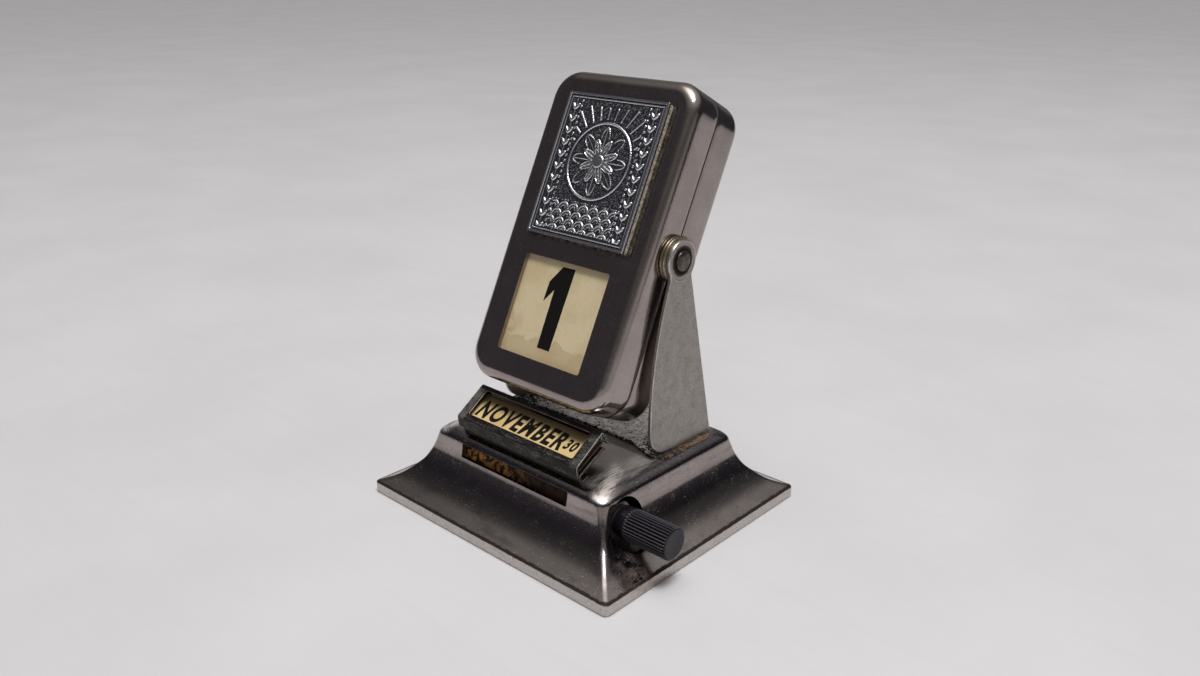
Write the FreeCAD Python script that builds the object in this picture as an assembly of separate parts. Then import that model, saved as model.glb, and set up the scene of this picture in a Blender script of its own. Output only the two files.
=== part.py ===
import FreeCAD, Part
import math
import os

V = FreeCAD.Vector

# Perpetual desk calendar: a flared stamped base, a month hood with its cards, a
# weekday roller turned by a knob, and a date head that turns over between two
# side plates. Millimetres. X to the right (knob side), Y to the back, Z up.
# The origin lies on the table, under the middle of the base.

# General clearances
gap = 0.1             # between pieces that pass or face each other
running_gap = 0.05    # radial play of a shaft in its hole
overrun = 1.0         # how far a cutter passes the face that it cuts

# Base shell
base_height = 21.2    # table to flat top
base_wall = 1.0
rim_height = 3.0
rim_corner = 1.5
flare_reach = 13.0    # rim to the foot of the shoulder, inwards
shoulder_radius = 2.0
shoulder_slope = 74.0 # degrees, the wall just under the shoulder
shoulder_steps = 6
flare_steps = 3       # levels from one row of the flare table to the next
top_corner = 10.0     # corner radius of the flat top
top_side_margin = 2.28    # flat top beyond the side plates
top_back_margin = 3.28    # flat top behind the side plates

# Weekday slot in the front wall
slot_length = 40.4
slot_top_margin = 2.5 # flat top to the upper edge
slot_height = 3.9

# Weekday roller, its shaft and cradle
roller_depth = 13.9   # front of the rim to the roller
roller_head_room = 1.5    # roller to the inside of the flat top
roller_floor_room = 3.2   # cradle's floor to the roller
roller_end_left = 4.5     # roller to the outer face of the left upright
roller_end_right = 7.0    # roller to the outer face of the right upright
roller_wall = 0.7
shaft_radius = 1.5
cradle_sheet = 1.0
cradle_width = 9.0
cradle_side_room = 14.0   # end of the rim to the right upright
clip_thickness = 0.5
clip_radius = 3.0
shaft_stub = 1.2      # shaft left outside the clip

# Knob
knob_radius = 4.3
knob_length = 16.8
knob_collar = 3.6     # length of the smooth collar
knob_set_off = 1.0    # right upright to the collar
knob_flutes = 32
knob_flute_depth = 0.32
knob_chamfer = 0.35
knob_crown = 3.0      # wall of solid plastic left over the end of the shaft
knob_hole_play = 2.1
spring_washer_radius = 3.6
spring_washer_sheet = 0.4

# Bottom closure
pad_thickness = 0.9
bottom_sheet = 0.8
bottom_play = 0.3     # from the bottom plate to the rim
post_radius = 2.5
post_spacing = 28.0   # X, between the two posts
post_set_back = 1.1   # pivot to the posts, backwards
screw_radius = 1.25
screw_grip = 7.0      # length of the screw inside its post
screw_head_radius = 2.6
screw_head_height = 0.8
screw_hole_play = 0.25
pad_hole_play = 0.8

# Head: lean and case
head_lean = 26.3      # degrees, top towards the back
head_width = 50.0
head_height = 87.3
head_front = 10.1     # pivot to front face
head_back = 11.4      # pivot to back face
head_drop = 0.6       # centre of the case below the pivot
head_corner = 8.0
head_edge = 3.4       # rounding of front and back edges
head_wall = 0.9
seam = 0.12           # open seam between the half shells
swing_room = 6.5      # turning head to the flat top
hood_room = 1.34      # turning head to the month hood

# Window and plaque
window_width = 30.0
window_height = 26.8
window_drop = 21.5    # centre of the window below the centre of the case
window_corner = 0.5
plaque_width = 34.0
plaque_height = 39.2
plaque_rise = 17.05   # centre of the plaque above the centre of the case
plaque_shift = 1.4    # the plaque sits a little towards the knob side
plaque_board = 1.45
plaque_sheet = 0.4
plaque_border = 1.1
plaque_border_rise = 0.35
plaque_corner = 0.8

# Inside the head
cage_wall = 1.6
cage_front = 6.3      # pivot to the front edge of the cage
cage_back = 7.6       # pivot to the back edge of the cage
card_count_lower = 16
card_count_upper = 15
card_thickness = 1.13
card_film = 0.07      # air between two date cards
card_back_play = 0.22 # air behind the last card
card_play = 0.4       # date card to the side of the cage
card_end_play = 0.75  # chamber higher than a card
card_corner = 5.0
divider_sheet = 0.8
divider_groove = 0.5
divider_front_play = 0.25
divider_ear_inset = 1.5

# Pivot pins and washers
pin_radius = 2.0
pin_notch_radius = 2.4
pin_head_radius = 2.8
pin_head_height = 0.9
pin_inset = 0.6       # inner end of the pin, short of the card chamber
washer_sheet = 0.75
washer_radius = 6.1
washer_bore_play = 0.1
washers_per_side = 2

# Side plates, from the pivot
arm_sheet = 1.0
eye_radius = 5.4
eye_dome_gap = 0.1
arm_foot_front = 11.0
arm_foot_back = 14.9
arm_foot_corner = 7.0
arm_waist_front = 4.3     # front edge just under the eye
arm_waist_back = 3.9      # back edge just under the eye
arm_waist_drop = 4.3      # how far the waist lies under the pivot
arm_belly = 10.3          # front edge halfway down
arm_belly_drop = 29.5
arm_tab_front_inset = 9.1 # foot to tab, at the front
arm_tab_back_inset = 2.8  # foot to tab, at the back
arm_tab_foot = 5.5        # length of the folded foot under the shell
arm_slot_play = 0.1

# Top plate, from the side plates' feet
plate_sheet = 0.6
plate_side_margin = 3.5
plate_front_margin = 1.8  # how far the feet stand out at the front
plate_back_margin = 0.8
plate_corner = 4.5
plate_bay_depth = 3.5     # shallow bay in its front edge

# Month hood, its seat and cards
hood_sheet = 0.5
hood_length = 45.4
hood_rise = 11.5      # flat top to the apex
hood_overhang = 1.44  # tip in front of the flat top
hood_tilt = 33.7      # degrees, the face to the table
hood_depth = 11.8     # along the face
hood_skirt = 3.2
hood_skirt_tilt = 8.0 # degrees from upright, foot towards the back
hood_flap = 5.0
hood_side_border = 3.0
hood_window_top = 1.6     # apex to the window, along the face
hood_window_bottom = 1.9  # window to the tip, along the face
hood_window_corner = 0.4
month_card_count = 6
month_card_thickness = 0.3
month_card_film = 0.06
month_card_border = 1.6   # hood face longer than a card
month_card_tilt = 28.0
month_card_back = 0.2     # apex to the back edge of the top card, backwards
month_card_drop = 2.7     # apex to the back edge of the top card, down
month_card_corner = 0.6
month_card_top_short = 3.0    # the card in view ends this far short of the hood's open end
seat_sheet = 0.6
seat_leg_back = 1.3       # apex to the seat's leg, backwards
seat_leg_width = 24.0
seat_foot = 3.6
seat_front_set_back = 1.5 # tip to the seat's front edge
seat_front_foot = 3.0

# Rivets
rivet_radius = 0.8
rivet_head_radius = 1.4
rivet_head_height = 0.5
seat_rivet_spacing = 16.0
cradle_rivet_spacing = 30.0

# Sizes that follow
steep = math.radians(shoulder_slope)
flare_inset = flare_reach + shoulder_radius * math.sin(steep)
washer_room = washers_per_side * washer_sheet + (washers_per_side + 1) * gap
arm_outer = head_width / 2 + washer_room + arm_sheet
base_length = 2 * (arm_outer + top_side_margin + flare_inset)

swing_radius = math.hypot(head_back, head_height / 2 + head_drop)
pivot_rise = swing_radius + swing_room
pivot_z = base_height + pivot_rise
hood_distance = math.sqrt((swing_radius + hood_room) ** 2 - (pivot_rise - hood_rise) ** 2)
hood_run = hood_depth * math.cos(math.radians(hood_tilt))
top_front = hood_distance + hood_run - hood_overhang    # pivot to the front of the flat top
top_back = arm_foot_back + top_back_margin              # pivot to the back of the flat top
base_width = top_front + top_back + 2 * flare_inset
pivot_y = (top_front - top_back) / 2
post_y = pivot_y + post_set_back

hood_apex_y = pivot_y - hood_distance
hood_apex_z = base_height + hood_rise
hood_window_length = hood_length - 2 * hood_side_border
hood_window_depth = hood_depth - hood_window_top - hood_window_bottom
month_card_depth = hood_depth - month_card_border
month_card_back_y = hood_apex_y + month_card_back
month_card_back_z = hood_apex_z - month_card_drop
seat_leg_y = hood_apex_y + seat_leg_back
seat_front_y = hood_apex_y - hood_run + seat_front_set_back

roller_top = base_height - base_wall - roller_head_room
roller_foot = pad_thickness + bottom_sheet + cradle_sheet + roller_floor_room
roller_radius = (roller_top - roller_foot) / 2
roller_y = roller_depth + roller_radius - base_width / 2
roller_z = roller_top - roller_radius
cradle_right = base_length / 2 - cradle_side_room
roller_length = 2 * (cradle_right - roller_end_right)
cradle_left = -roller_length / 2 - roller_end_left
knob_start = cradle_right + knob_set_off
knob_end = knob_start + knob_length
knob_hole_radius = knob_radius + knob_hole_play
slot_high = base_height - slot_top_margin
slot_low = slot_high - slot_height

foot_front = pivot_y - arm_foot_front
foot_back = pivot_y + arm_foot_back
tab_front = foot_front + arm_tab_front_inset
tab_back = foot_back - arm_tab_back_inset
plate_front = foot_front + plate_front_margin
plate_back = foot_back + plate_back_margin
plate_length = 2 * (arm_outer + plate_side_margin)

# Flare of the base: how far in (of the reach), how far up (of the rise from the rim
# to the foot of the shoulder) and the corner radius (of the flat top's)
flare_shares = [
    (0.027, 0.000, 0.150),
    (0.335, 0.119, 0.250),
    (0.577, 0.293, 0.400),
    (0.754, 0.442, 0.500),
    (0.854, 0.609, 0.620),
    (0.938, 0.824, 0.760),
    (1.000, 1.000, 0.880),
]

# Front edge of the top plate: place along its half length, depth of the bay there
bay_shares = [
    (0.83, 0.00),
    (0.72, 0.36),
    (0.58, 0.86),
    (0.30, 0.97),
    (0.00, 1.00),
]


def box(x0, x1, y0, y1, z0, z1):
    """Block between two corners."""
    return Part.makeBox(x1 - x0, y1 - y0, z1 - z0, V(x0, y0, z0))


def rod(radius, x0, x1, y, z):
    """Round bar along X."""
    return Part.makeCylinder(radius, x1 - x0, V(x0, y, z), V(1, 0, 0))


def stub(radius, x, y, z0, z1):
    """Round bar along Z."""
    return Part.makeCylinder(radius, z1 - z0, V(x, y, z0), V(0, 0, 1))


def rounded_wire(half_a, half_b, radius, point):
    """Closed rounded rectangle; point(a, b) gives the place of a corner in space."""
    k = radius * (1.0 - math.sqrt(0.5))
    ends = []
    for sa, sb in ((1, 1), (-1, 1), (-1, -1), (1, -1)):
        along = point(sa * (half_a - radius), sb * half_b)
        across = point(sa * half_a, sb * (half_b - radius))
        middle = point(sa * (half_a - k), sb * (half_b - k))
        pair = (across, middle, along) if sa * sb > 0 else (along, middle, across)
        ends.append(pair)
    edges = []
    for i, (start, middle, end) in enumerate(ends):
        edges.append(Part.Arc(start, middle, end).toShape())
        edges.append(Part.LineSegment(end, ends[(i + 1) % len(ends)][0]).toShape())
    return Part.Wire(edges)


def level_wire(half_x, half_y, radius, z):
    """Rounded rectangle lying flat at height z."""
    return rounded_wire(half_x, half_y, radius, lambda a, b: V(a, b, z))


def slab(half_x, half_y, radius, z0, z1):
    """Flat rounded plate between two heights."""
    return Part.Face(level_wire(half_x, half_y, radius, z0)).extrude(V(0, 0, z1 - z0))


def upright_slab(half_x, half_z, radius, y0, y1, x=0.0, z=0.0):
    """Rounded plate standing in the XZ plane, from y0 back to y1."""
    wire = rounded_wire(half_x, half_z, radius, lambda a, b: V(x + a, y0, z + b))
    return Part.Face(wire).extrude(V(0, y1 - y0, 0))


def profile(points, x0, x1):
    """Closed outline of (y, z) points, carried along X."""
    ring = [V(x0, y, z) for y, z in points]
    face = Part.Face(Part.makePolygon(ring + ring[:1]))
    return face.extrude(V(x1 - x0, 0, 0))


def bent_strip(points, sheet, x0, x1):
    """Sheet of even thickness folded along (y, z) points, which run on its right-hand side."""
    inner = []
    count = len(points)
    for i, (y, z) in enumerate(points):
        sides = []
        for a, b in ((i - 1, i), (i, i + 1)):
            if a < 0 or b >= count:
                continue
            dy = points[b][0] - points[a][0]
            dz = points[b][1] - points[a][1]
            length = math.hypot(dy, dz)
            sides.append((-dz / length, dy / length))
        ny = sum(s[0] for s in sides)
        nz = sum(s[1] for s in sides)
        square = ny * sides[0][0] + nz * sides[0][1]
        inner.append((y + sheet * ny / square, z + sheet * nz / square))
    return profile(points + inner[::-1], x0, x1)


def lean(shape):
    """Place a head piece, modelled upright about the pivot, at its rest angle."""
    placed = shape.copy()
    placed.rotate(V(0, 0, 0), V(1, 0, 0), -head_lean)
    placed.translate(V(0, pivot_y, pivot_z))
    return placed


def mirrored(shape):
    """The same piece on the left side."""
    return shape.mirror(V(0, 0, 0), V(1, 0, 0))


def save(name, *shapes):
    """Write one node; several solids go into one compound."""
    shape = shapes[0] if len(shapes) == 1 else Part.makeCompound(list(shapes))
    shape.exportStep("parts/" + name + ".step")


# Base


def slopes(rows, column):
    """Slope at every row of a table against its row number, without overshoot."""
    steps = [rows[i + 1][column] - rows[i][column] for i in range(len(rows) - 1)]
    found = [steps[0]]
    for low, high in zip(steps, steps[1:]):
        found.append(2 * low * high / (low + high) if low * high > 0 else 0.0)
    return found + [steps[-1]]


def dense_rows(rows, parts):
    """A table with extra rows on a smooth curve between its own."""
    columns = range(len(rows[0]))
    tilt = [slopes(rows, c) for c in columns]
    out = []
    for i in range(len(rows) - 1):
        for k in range(parts):
            t = k / parts
            row = []
            for c in columns:
                start, end = rows[i][c], rows[i + 1][c]
                curve = (start * (1 + 2 * t) * (1 - t) ** 2 + end * t * t * (3 - 2 * t)
                         + tilt[c][i] * t * (1 - t) ** 2 - tilt[c][i + 1] * t * t * (1 - t))
                row.append(curve)
            out.append(tuple(row))
    return out + [tuple(rows[-1])]


def flare_levels():
    """Inset, height and corner radius of each level of the outer skin."""
    foot = base_height - shoulder_radius * (1 - math.cos(steep))
    levels = []
    for inset, up, corner in dense_rows(flare_shares, flare_steps):
        levels.append((inset * flare_reach, rim_height + up * (foot - rim_height), corner * top_corner))
    start = levels[-1]
    for k in range(1, shoulder_steps + 1):
        angle = steep * (1 - k / shoulder_steps)
        inset = start[0] + shoulder_radius * (math.sin(steep) - math.sin(angle))
        z = base_height - shoulder_radius * (1 - math.cos(angle))
        levels.append((inset, z, start[2] + (top_corner - start[2]) * k / shoulder_steps))
    return levels


def flare_sections(depth):
    """The levels of a skin that lies depth under the outer one."""
    raw = flare_levels()
    if depth == 0:
        return raw
    sections = []
    for i, (inset, z, corner) in enumerate(raw):
        low = raw[max(i - 1, 0)]
        high = raw[min(i + 1, len(raw) - 1)]
        run = high[0] - low[0]
        climb = high[1] - low[1]
        if i == len(raw) - 1:
            climb = 0.0
        length = math.hypot(run, climb)
        push = depth * climb / length
        sections.append((inset + push, z - depth * run / length, max(corner - push, rim_corner / 2)))
    while sections[1][0] < depth:
        sections.pop(0)
    (x0, z0, r0), (x1, z1, r1) = sections[:2]
    share = (depth - x0) / (x1 - x0)
    sections[0] = (depth, z0 + share * (z1 - z0), r0 + share * (r1 - r0))
    return sections


def flare(depth):
    """Solid flare of the base, depth under its outer skin."""
    wires = []
    for inset, z, corner in flare_sections(depth):
        wires.append(level_wire(base_length / 2 - inset, base_width / 2 - inset, corner, z))
    return Part.makeLoft(wires, True, True)


def arm_slot(side):
    """Cutter for the slot through which a side plate's tab passes."""
    inner = arm_outer - arm_sheet - arm_slot_play
    outer = arm_outer + arm_slot_play
    cut = box(inner, outer, tab_front - arm_slot_play, tab_back + arm_slot_play,
              base_height - base_wall - overrun, base_height + plate_sheet + overrun)
    return cut if side > 0 else mirrored(cut)


def seat_rivet_places():
    """Where the month seat is riveted to the flat top."""
    y = seat_leg_y + seat_foot / 2
    return [(side * seat_rivet_spacing / 2, y) for side in (-1, 1)]


def cradle_rivet_places():
    """Where the roller cradle is riveted to the bottom plate."""
    return [(side * cradle_rivet_spacing / 2, roller_y) for side in (-1, 1)]


def post_places():
    """Where the two posts stand."""
    return [(side * post_spacing / 2, post_y) for side in (-1, 1)]


def base_shell():
    rim = slab(base_length / 2, base_width / 2, rim_corner, 0, rim_height)
    shell = rim.fuse(flare(0))
    hollow = flare(base_wall)
    rim_top = flare_sections(base_wall)[0][1]
    rim_hollow = slab(base_length / 2 - base_wall, base_width / 2 - base_wall, rim_corner / 2,
                      -overrun, rim_top)
    shell = shell.cut(rim_hollow).cut(hollow)
    shell = shell.cut(box(-slot_length / 2, slot_length / 2, -base_width / 2, roller_y,
                          slot_low, slot_high))
    shell = shell.cut(rod(knob_hole_radius, cradle_right, base_length / 2, roller_y, roller_z))
    for side in (-1, 1):
        shell = shell.cut(arm_slot(side))
    for x, y in seat_rivet_places():
        shell = shell.cut(stub(rivet_radius, x, y, base_height - base_wall - overrun,
                               base_height + overrun))
    return shell


def top_plate():
    """Rough plate on the flat top, with a shallow bay in its front edge."""
    middle = (plate_front + plate_back) / 2
    plate = slab(plate_length / 2, (plate_back - plate_front) / 2, plate_corner,
                 base_height, base_height + plate_sheet)
    plate.translate(V(0, middle, 0))
    half = [(along * plate_length / 2, plate_front + depth * plate_bay_depth) for along, depth in bay_shares]
    ends = [V(-x, y, base_height) for x, y in half] + [V(x, y, base_height) for x, y in half[-2::-1]]
    curve = Part.BSplineCurve()
    curve.interpolate(ends)
    chord = Part.LineSegment(ends[-1], ends[0]).toShape()
    bay = Part.Face(Part.Wire([curve.toShape(), chord])).extrude(V(0, 0, plate_sheet))
    plate = plate.cut(bay)
    for side in (-1, 1):
        plate = plate.cut(arm_slot(side))
    return plate


def side_plate(side):
    """Upright plate with a round eye, a waist and a tab folded under the shell."""
    bottom = base_height + plate_sheet
    waist_z = pivot_z - arm_waist_drop
    corner = arm_foot_corner * (1 - math.sqrt(0.5))
    front_top = V(0, pivot_y - arm_waist_front, waist_z)
    belly = V(0, pivot_y - arm_belly, pivot_z - arm_belly_drop)
    front_low = V(0, foot_front, bottom + arm_foot_corner)
    knee = V(0, foot_front + corner, bottom + corner)
    foot = V(0, foot_front + arm_foot_corner, bottom)
    heel = V(0, foot_back, bottom)
    back_top = V(0, pivot_y + arm_waist_back, waist_z)
    edges = [
        Part.Arc(front_top, belly, front_low).toShape(),
        Part.Arc(front_low, knee, foot).toShape(),
        Part.LineSegment(foot, heel).toShape(),
        Part.LineSegment(heel, back_top).toShape(),
        Part.LineSegment(back_top, front_top).toShape(),
    ]
    plate = Part.Face(Part.Wire(edges)).extrude(V(arm_sheet, 0, 0))
    plate = plate.fuse(rod(eye_radius, 0, arm_sheet, pivot_y, pivot_z))
    under = base_height - base_wall
    tab = box(0, arm_sheet, tab_front, tab_back, under - arm_sheet, bottom)
    fold = box(-arm_tab_foot, arm_sheet, tab_front, tab_back, under - arm_sheet, under)
    plate = plate.fuse(tab).fuse(fold).removeSplitter()
    plate = plate.cut(rod(pin_radius + running_gap, -overrun, arm_sheet + overrun, pivot_y, pivot_z))
    plate.translate(V(arm_outer - arm_sheet, 0, 0))
    return plate if side > 0 else mirrored(plate)


def bottom_half_sizes():
    """Half length and half width of what closes the base underneath."""
    shrink = base_wall + bottom_play
    return base_length / 2 - shrink, base_width / 2 - shrink


def bottom_plate():
    half_x, half_y = bottom_half_sizes()
    plate = slab(half_x, half_y, rim_corner / 2, pad_thickness, pad_thickness + bottom_sheet)
    for x, y in post_places():
        plate = plate.cut(stub(screw_radius + screw_hole_play, x, y, 0, pad_thickness + bottom_sheet + overrun))
    for x, y in cradle_rivet_places():
        plate = plate.cut(stub(rivet_radius, x, y, 0, pad_thickness + bottom_sheet + overrun))
    return plate


def base_pad():
    half_x, half_y = bottom_half_sizes()
    pad = slab(half_x, half_y, rim_corner / 2, 0, pad_thickness)
    for x, y in post_places():
        pad = pad.cut(stub(screw_head_radius + pad_hole_play, x, y, -overrun, pad_thickness + overrun))
    for x, y in cradle_rivet_places():
        pad = pad.cut(stub(rivet_head_radius + pad_hole_play, x, y, -overrun, pad_thickness + overrun))
    return pad


def bottom_post(x, y):
    low = pad_thickness + bottom_sheet
    post = stub(post_radius, x, y, low, base_height - base_wall)
    return post.cut(stub(screw_radius + running_gap, x, y, low - overrun, low + screw_grip + overrun))


def bottom_screw(x, y):
    head = stub(screw_head_radius, x, y, pad_thickness - screw_head_height, pad_thickness)
    head = head.makeChamfer(screw_head_height / 4, [e for e in head.Edges if e.BoundBox.ZMax < pad_thickness
                                                    and e.BoundBox.XLength > screw_head_radius])
    shank = stub(screw_radius, x, y, pad_thickness, pad_thickness + bottom_sheet + screw_grip)
    cross = box(x - screw_head_radius / 8, x + screw_head_radius / 8, y - screw_head_radius,
                y + screw_head_radius, pad_thickness - screw_head_height,
                pad_thickness - screw_head_height / 2)
    return head.fuse(shank).cut(cross)


def rivet(x, y, low, high):
    """Rivet that holds sheets between two heights."""
    shank = stub(rivet_radius, x, y, low, high)
    upper = stub(rivet_head_radius, x, y, high, high + rivet_head_height)
    lower = stub(rivet_head_radius, x, y, low - rivet_head_height, low)
    return shank.fuse(upper).fuse(lower)


def rivets():
    sets = []
    for x, y in seat_rivet_places():
        sets.append(rivet(x, y, base_height - base_wall, base_height + seat_sheet))
    low = pad_thickness
    for x, y in cradle_rivet_places():
        sets.append(rivet(x, y, low, low + bottom_sheet + cradle_sheet))
    return sets


# Weekday roller


def roller_cradle():
    """Folded strip on the bottom plate with two round-topped uprights."""
    low = pad_thickness + bottom_sheet
    half = cradle_width / 2
    strip = box(cradle_left, cradle_right, roller_y - half, roller_y + half, low, low + cradle_sheet)
    for x in (cradle_left, cradle_right - cradle_sheet):
        upright = box(x, x + cradle_sheet, roller_y - half, roller_y + half, low, roller_z)
        upright = upright.fuse(rod(half, x, x + cradle_sheet, roller_y, roller_z))
        strip = strip.fuse(upright)
    strip = strip.removeSplitter()
    strip = strip.cut(rod(shaft_radius + running_gap, cradle_left - overrun, cradle_right + overrun,
                          roller_y, roller_z))
    for x, y in cradle_rivet_places():
        strip = strip.cut(stub(rivet_radius, x, y, low - overrun, low + cradle_sheet + overrun))
    return strip


def weekday_roller():
    """Hollow drum with a disc in each end, bored for the shaft."""
    half = roller_length / 2
    drum = rod(roller_radius, -half, half, roller_y, roller_z)
    drum = drum.cut(rod(roller_radius - roller_wall, -half + roller_wall, half - roller_wall,
                        roller_y, roller_z))
    return drum.cut(rod(shaft_radius, -half - overrun, half + overrun, roller_y, roller_z))


def shaft_left():
    """X of the shaft's left end."""
    return cradle_left - gap - clip_thickness - shaft_stub


def roller_shaft():
    shaft = rod(shaft_radius, shaft_left(), knob_end - knob_crown, roller_y, roller_z)
    return shaft.makeChamfer(shaft_radius / 5, [e for e in shaft.Edges if e.BoundBox.XLength < gap])


def roller_clip():
    """Round clip on the left end of the shaft, open at the bottom."""
    right = cradle_left - gap
    clip = rod(clip_radius, right - clip_thickness, right, roller_y, roller_z)
    clip = clip.cut(rod(shaft_radius, right - clip_thickness - overrun, right + overrun,
                        roller_y, roller_z))
    mouth = shaft_radius / 2
    return clip.cut(box(right - clip_thickness - overrun, right + overrun, roller_y - mouth,
                        roller_y + mouth, roller_z - clip_radius - overrun, roller_z))


def spring_washer():
    """Coned washer between the cradle and the knob, which keeps the roller where it is set."""
    left = cradle_right + gap
    room = knob_start - left
    bore = shaft_radius + gap
    ring = [(left, bore), (left + spring_washer_sheet, bore),
            (left + room, spring_washer_radius), (left + room - spring_washer_sheet, spring_washer_radius)]
    points = [V(x, roller_y, roller_z + r) for x, r in ring]
    face = Part.Face(Part.makePolygon(points + points[:1]))
    return face.revolve(V(0, roller_y, roller_z), V(1, 0, 0), 360)


def roller_knob():
    """Fluted cap with a smooth collar, pressed on the end of the shaft."""
    fluted_start = knob_start + knob_collar
    collar = rod(knob_radius, knob_start, fluted_start, roller_y, roller_z)
    points = []
    steps = 4 * knob_flutes
    for i in range(steps):
        crest = i % 4 in (0, 1)
        radius = knob_radius if crest else knob_radius - knob_flute_depth
        angle = 2 * math.pi * i / steps
        points.append(V(fluted_start, roller_y + radius * math.cos(angle), roller_z + radius * math.sin(angle)))
    fluted = Part.Face(Part.makePolygon(points + points[:1]))
    fluted = fluted.extrude(V(knob_end - fluted_start, 0, 0))
    end = rod(knob_radius, fluted_start, knob_end, roller_y, roller_z)
    end = end.makeChamfer(knob_chamfer, [e for e in end.Edges if e.BoundBox.XMin > knob_end - gap])
    knob = collar.fuse(fluted.common(end))
    return knob.cut(rod(shaft_radius, knob_start - overrun, knob_end - knob_crown, roller_y, roller_z))


# Month hood, seat and cards


def hood_points():
    """The hood's outer fold line as (y, z): flap end, apex, tip, skirt end."""
    tilt = math.radians(hood_tilt)
    skirt = math.radians(hood_skirt_tilt)
    tip_y = hood_apex_y - hood_depth * math.cos(tilt)
    tip_z = hood_apex_z - hood_depth * math.sin(tilt)
    return [
        (hood_apex_y + hood_flap * math.sin(tilt), hood_apex_z - hood_flap * math.cos(tilt)),
        (hood_apex_y, hood_apex_z),
        (tip_y, tip_z),
        (tip_y + hood_skirt * math.sin(skirt), tip_z - hood_skirt * math.cos(skirt)),
    ]


def on_hood_face(shape):
    """Place a piece, modelled with the apex at the origin and the face along -Y, on the face."""
    placed = shape.copy()
    placed.rotate(V(0, 0, 0), V(1, 0, 0), hood_tilt)
    placed.translate(V(0, hood_apex_y, hood_apex_z))
    return placed


def month_hood():
    """Folded hood with the window, open at the right, closed at the left."""
    half = hood_length / 2
    points = hood_points()
    hood = bent_strip(points, hood_sheet, -half, half)
    flap_end, apex, tip, skirt_end = points
    cheek = profile([flap_end, apex, tip, skirt_end], -half, -half + hood_sheet)
    hood = hood.fuse(cheek)
    cut = slab(hood_window_length / 2, hood_window_depth / 2, hood_window_corner,
               -hood_sheet - overrun / 2, overrun)
    cut.translate(V(0, -hood_window_top - hood_window_depth / 2, 0))
    return hood.cut(on_hood_face(cut))


def month_pack_depth():
    """Thickness of the whole pack of month cards."""
    return month_card_count * (month_card_thickness + month_card_film)


def month_card(index):
    """Card number index of the pack, 0 on top."""
    half = hood_length / 2
    left = -half + hood_sheet + gap
    right = half - (month_card_top_short if index == 0 else gap)
    top = -index * (month_card_thickness + month_card_film)
    card = slab((right - left) / 2, month_card_depth / 2, month_card_corner,
                top - month_card_thickness, top)
    card.translate(V((left + right) / 2, -month_card_depth / 2, 0))
    card.rotate(V(0, 0, 0), V(1, 0, 0), month_card_tilt)
    card.translate(V(0, month_card_back_y, month_card_back_z))
    return card


def month_seat():
    """Folded wedge that carries the pack: back foot, leg, sloping floor, front foot."""
    tilt = math.radians(month_card_tilt)
    depth = month_pack_depth()
    floor_y = month_card_back_y + depth * math.sin(tilt)
    floor_z = month_card_back_z - depth * math.cos(tilt)

    def floor(y):
        return floor_z - (floor_y - y) * math.tan(tilt)

    points = [
        (seat_leg_y + seat_foot, base_height + seat_sheet),
        (seat_leg_y, base_height + seat_sheet),
        (seat_leg_y, floor(seat_leg_y)),
        (seat_front_y, floor(seat_front_y)),
        (seat_front_y + seat_sheet, base_height),
        (seat_front_y + seat_sheet + seat_front_foot, base_height),
    ]
    half = hood_length / 2
    seat = bent_strip(points, seat_sheet, -half + hood_sheet, half - hood_sheet)
    reach = seat_leg_y - hood_sheet - seat_sheet
    for x0, x1 in ((-half, -seat_leg_width / 2), (seat_leg_width / 2, half)):
        seat = seat.cut(box(x0, x1, reach, 0, 0, floor(reach) - seat_sheet))
    for x, y in seat_rivet_places():
        seat = seat.cut(stub(rivet_radius, x, y, base_height - overrun, base_height + seat_sheet + overrun))
    return seat


# Date head, modelled upright about the pivot


def case_block(front, back, shrink, rounded_front):
    """Solid block of the case between two depths; one face's edges are rounded."""
    half_x = head_width / 2 - shrink
    half_z = head_height / 2 - shrink
    block = upright_slab(half_x, half_z, head_corner - shrink, front, back, 0, -head_drop)
    face = front if rounded_front else back
    edges = []
    for edge in block.Edges:
        bounds = edge.BoundBox
        if abs(bounds.YMin - face) < gap and abs(bounds.YMax - face) < gap:
            edges.append(edge)
    return block.makeFillet(head_edge - shrink, edges)


def pin_notch():
    """Cutter for the round pin opening in both side walls."""
    half = head_width / 2 + overrun
    return rod(pin_notch_radius, -half, half, 0, 0)


def front_shell():
    shell = case_block(-head_front, -seam / 2, 0, True)
    hollow = case_block(-head_front + head_wall, overrun, head_wall, True)
    shell = shell.cut(hollow).cut(pin_notch())
    window = upright_slab(window_width / 2, window_height / 2, window_corner, -head_front - overrun,
                          -head_front + head_wall + overrun, 0, -head_drop - window_drop)
    return shell.cut(window)


def rear_shell():
    shell = case_block(seam / 2, head_back, 0, False)
    hollow = case_block(-overrun, head_back - head_wall, head_wall, False)
    return shell.cut(hollow).cut(pin_notch())


def chamber_half_width():
    """Half width of the space that the date cards have."""
    return head_width / 2 - head_wall - gap - cage_wall


def chamber_half_height():
    """Half height of the two card chambers with the divider between them."""
    return head_height / 2 - head_wall - gap - cage_wall


def card_cage():
    """Ring inside both half shells; it carries the pins and the divider."""
    outer = upright_slab(chamber_half_width() + cage_wall, chamber_half_height() + cage_wall,
                         head_corner - head_wall - gap, -cage_front, cage_back, 0, -head_drop)
    inner = upright_slab(chamber_half_width(), chamber_half_height(), card_corner + card_play,
                         -cage_front - overrun, cage_back + overrun, 0, -head_drop)
    cage = outer.cut(inner)
    half = chamber_half_width()
    groove = box(-half - divider_groove, half + divider_groove, -cage_front + divider_ear_inset,
                 cage_back - divider_ear_inset, -head_drop - divider_sheet / 2,
                 -head_drop + divider_sheet / 2)
    reach = half + cage_wall + overrun
    return cage.cut(groove).cut(rod(pin_radius, -reach, reach, 0, 0))


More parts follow.
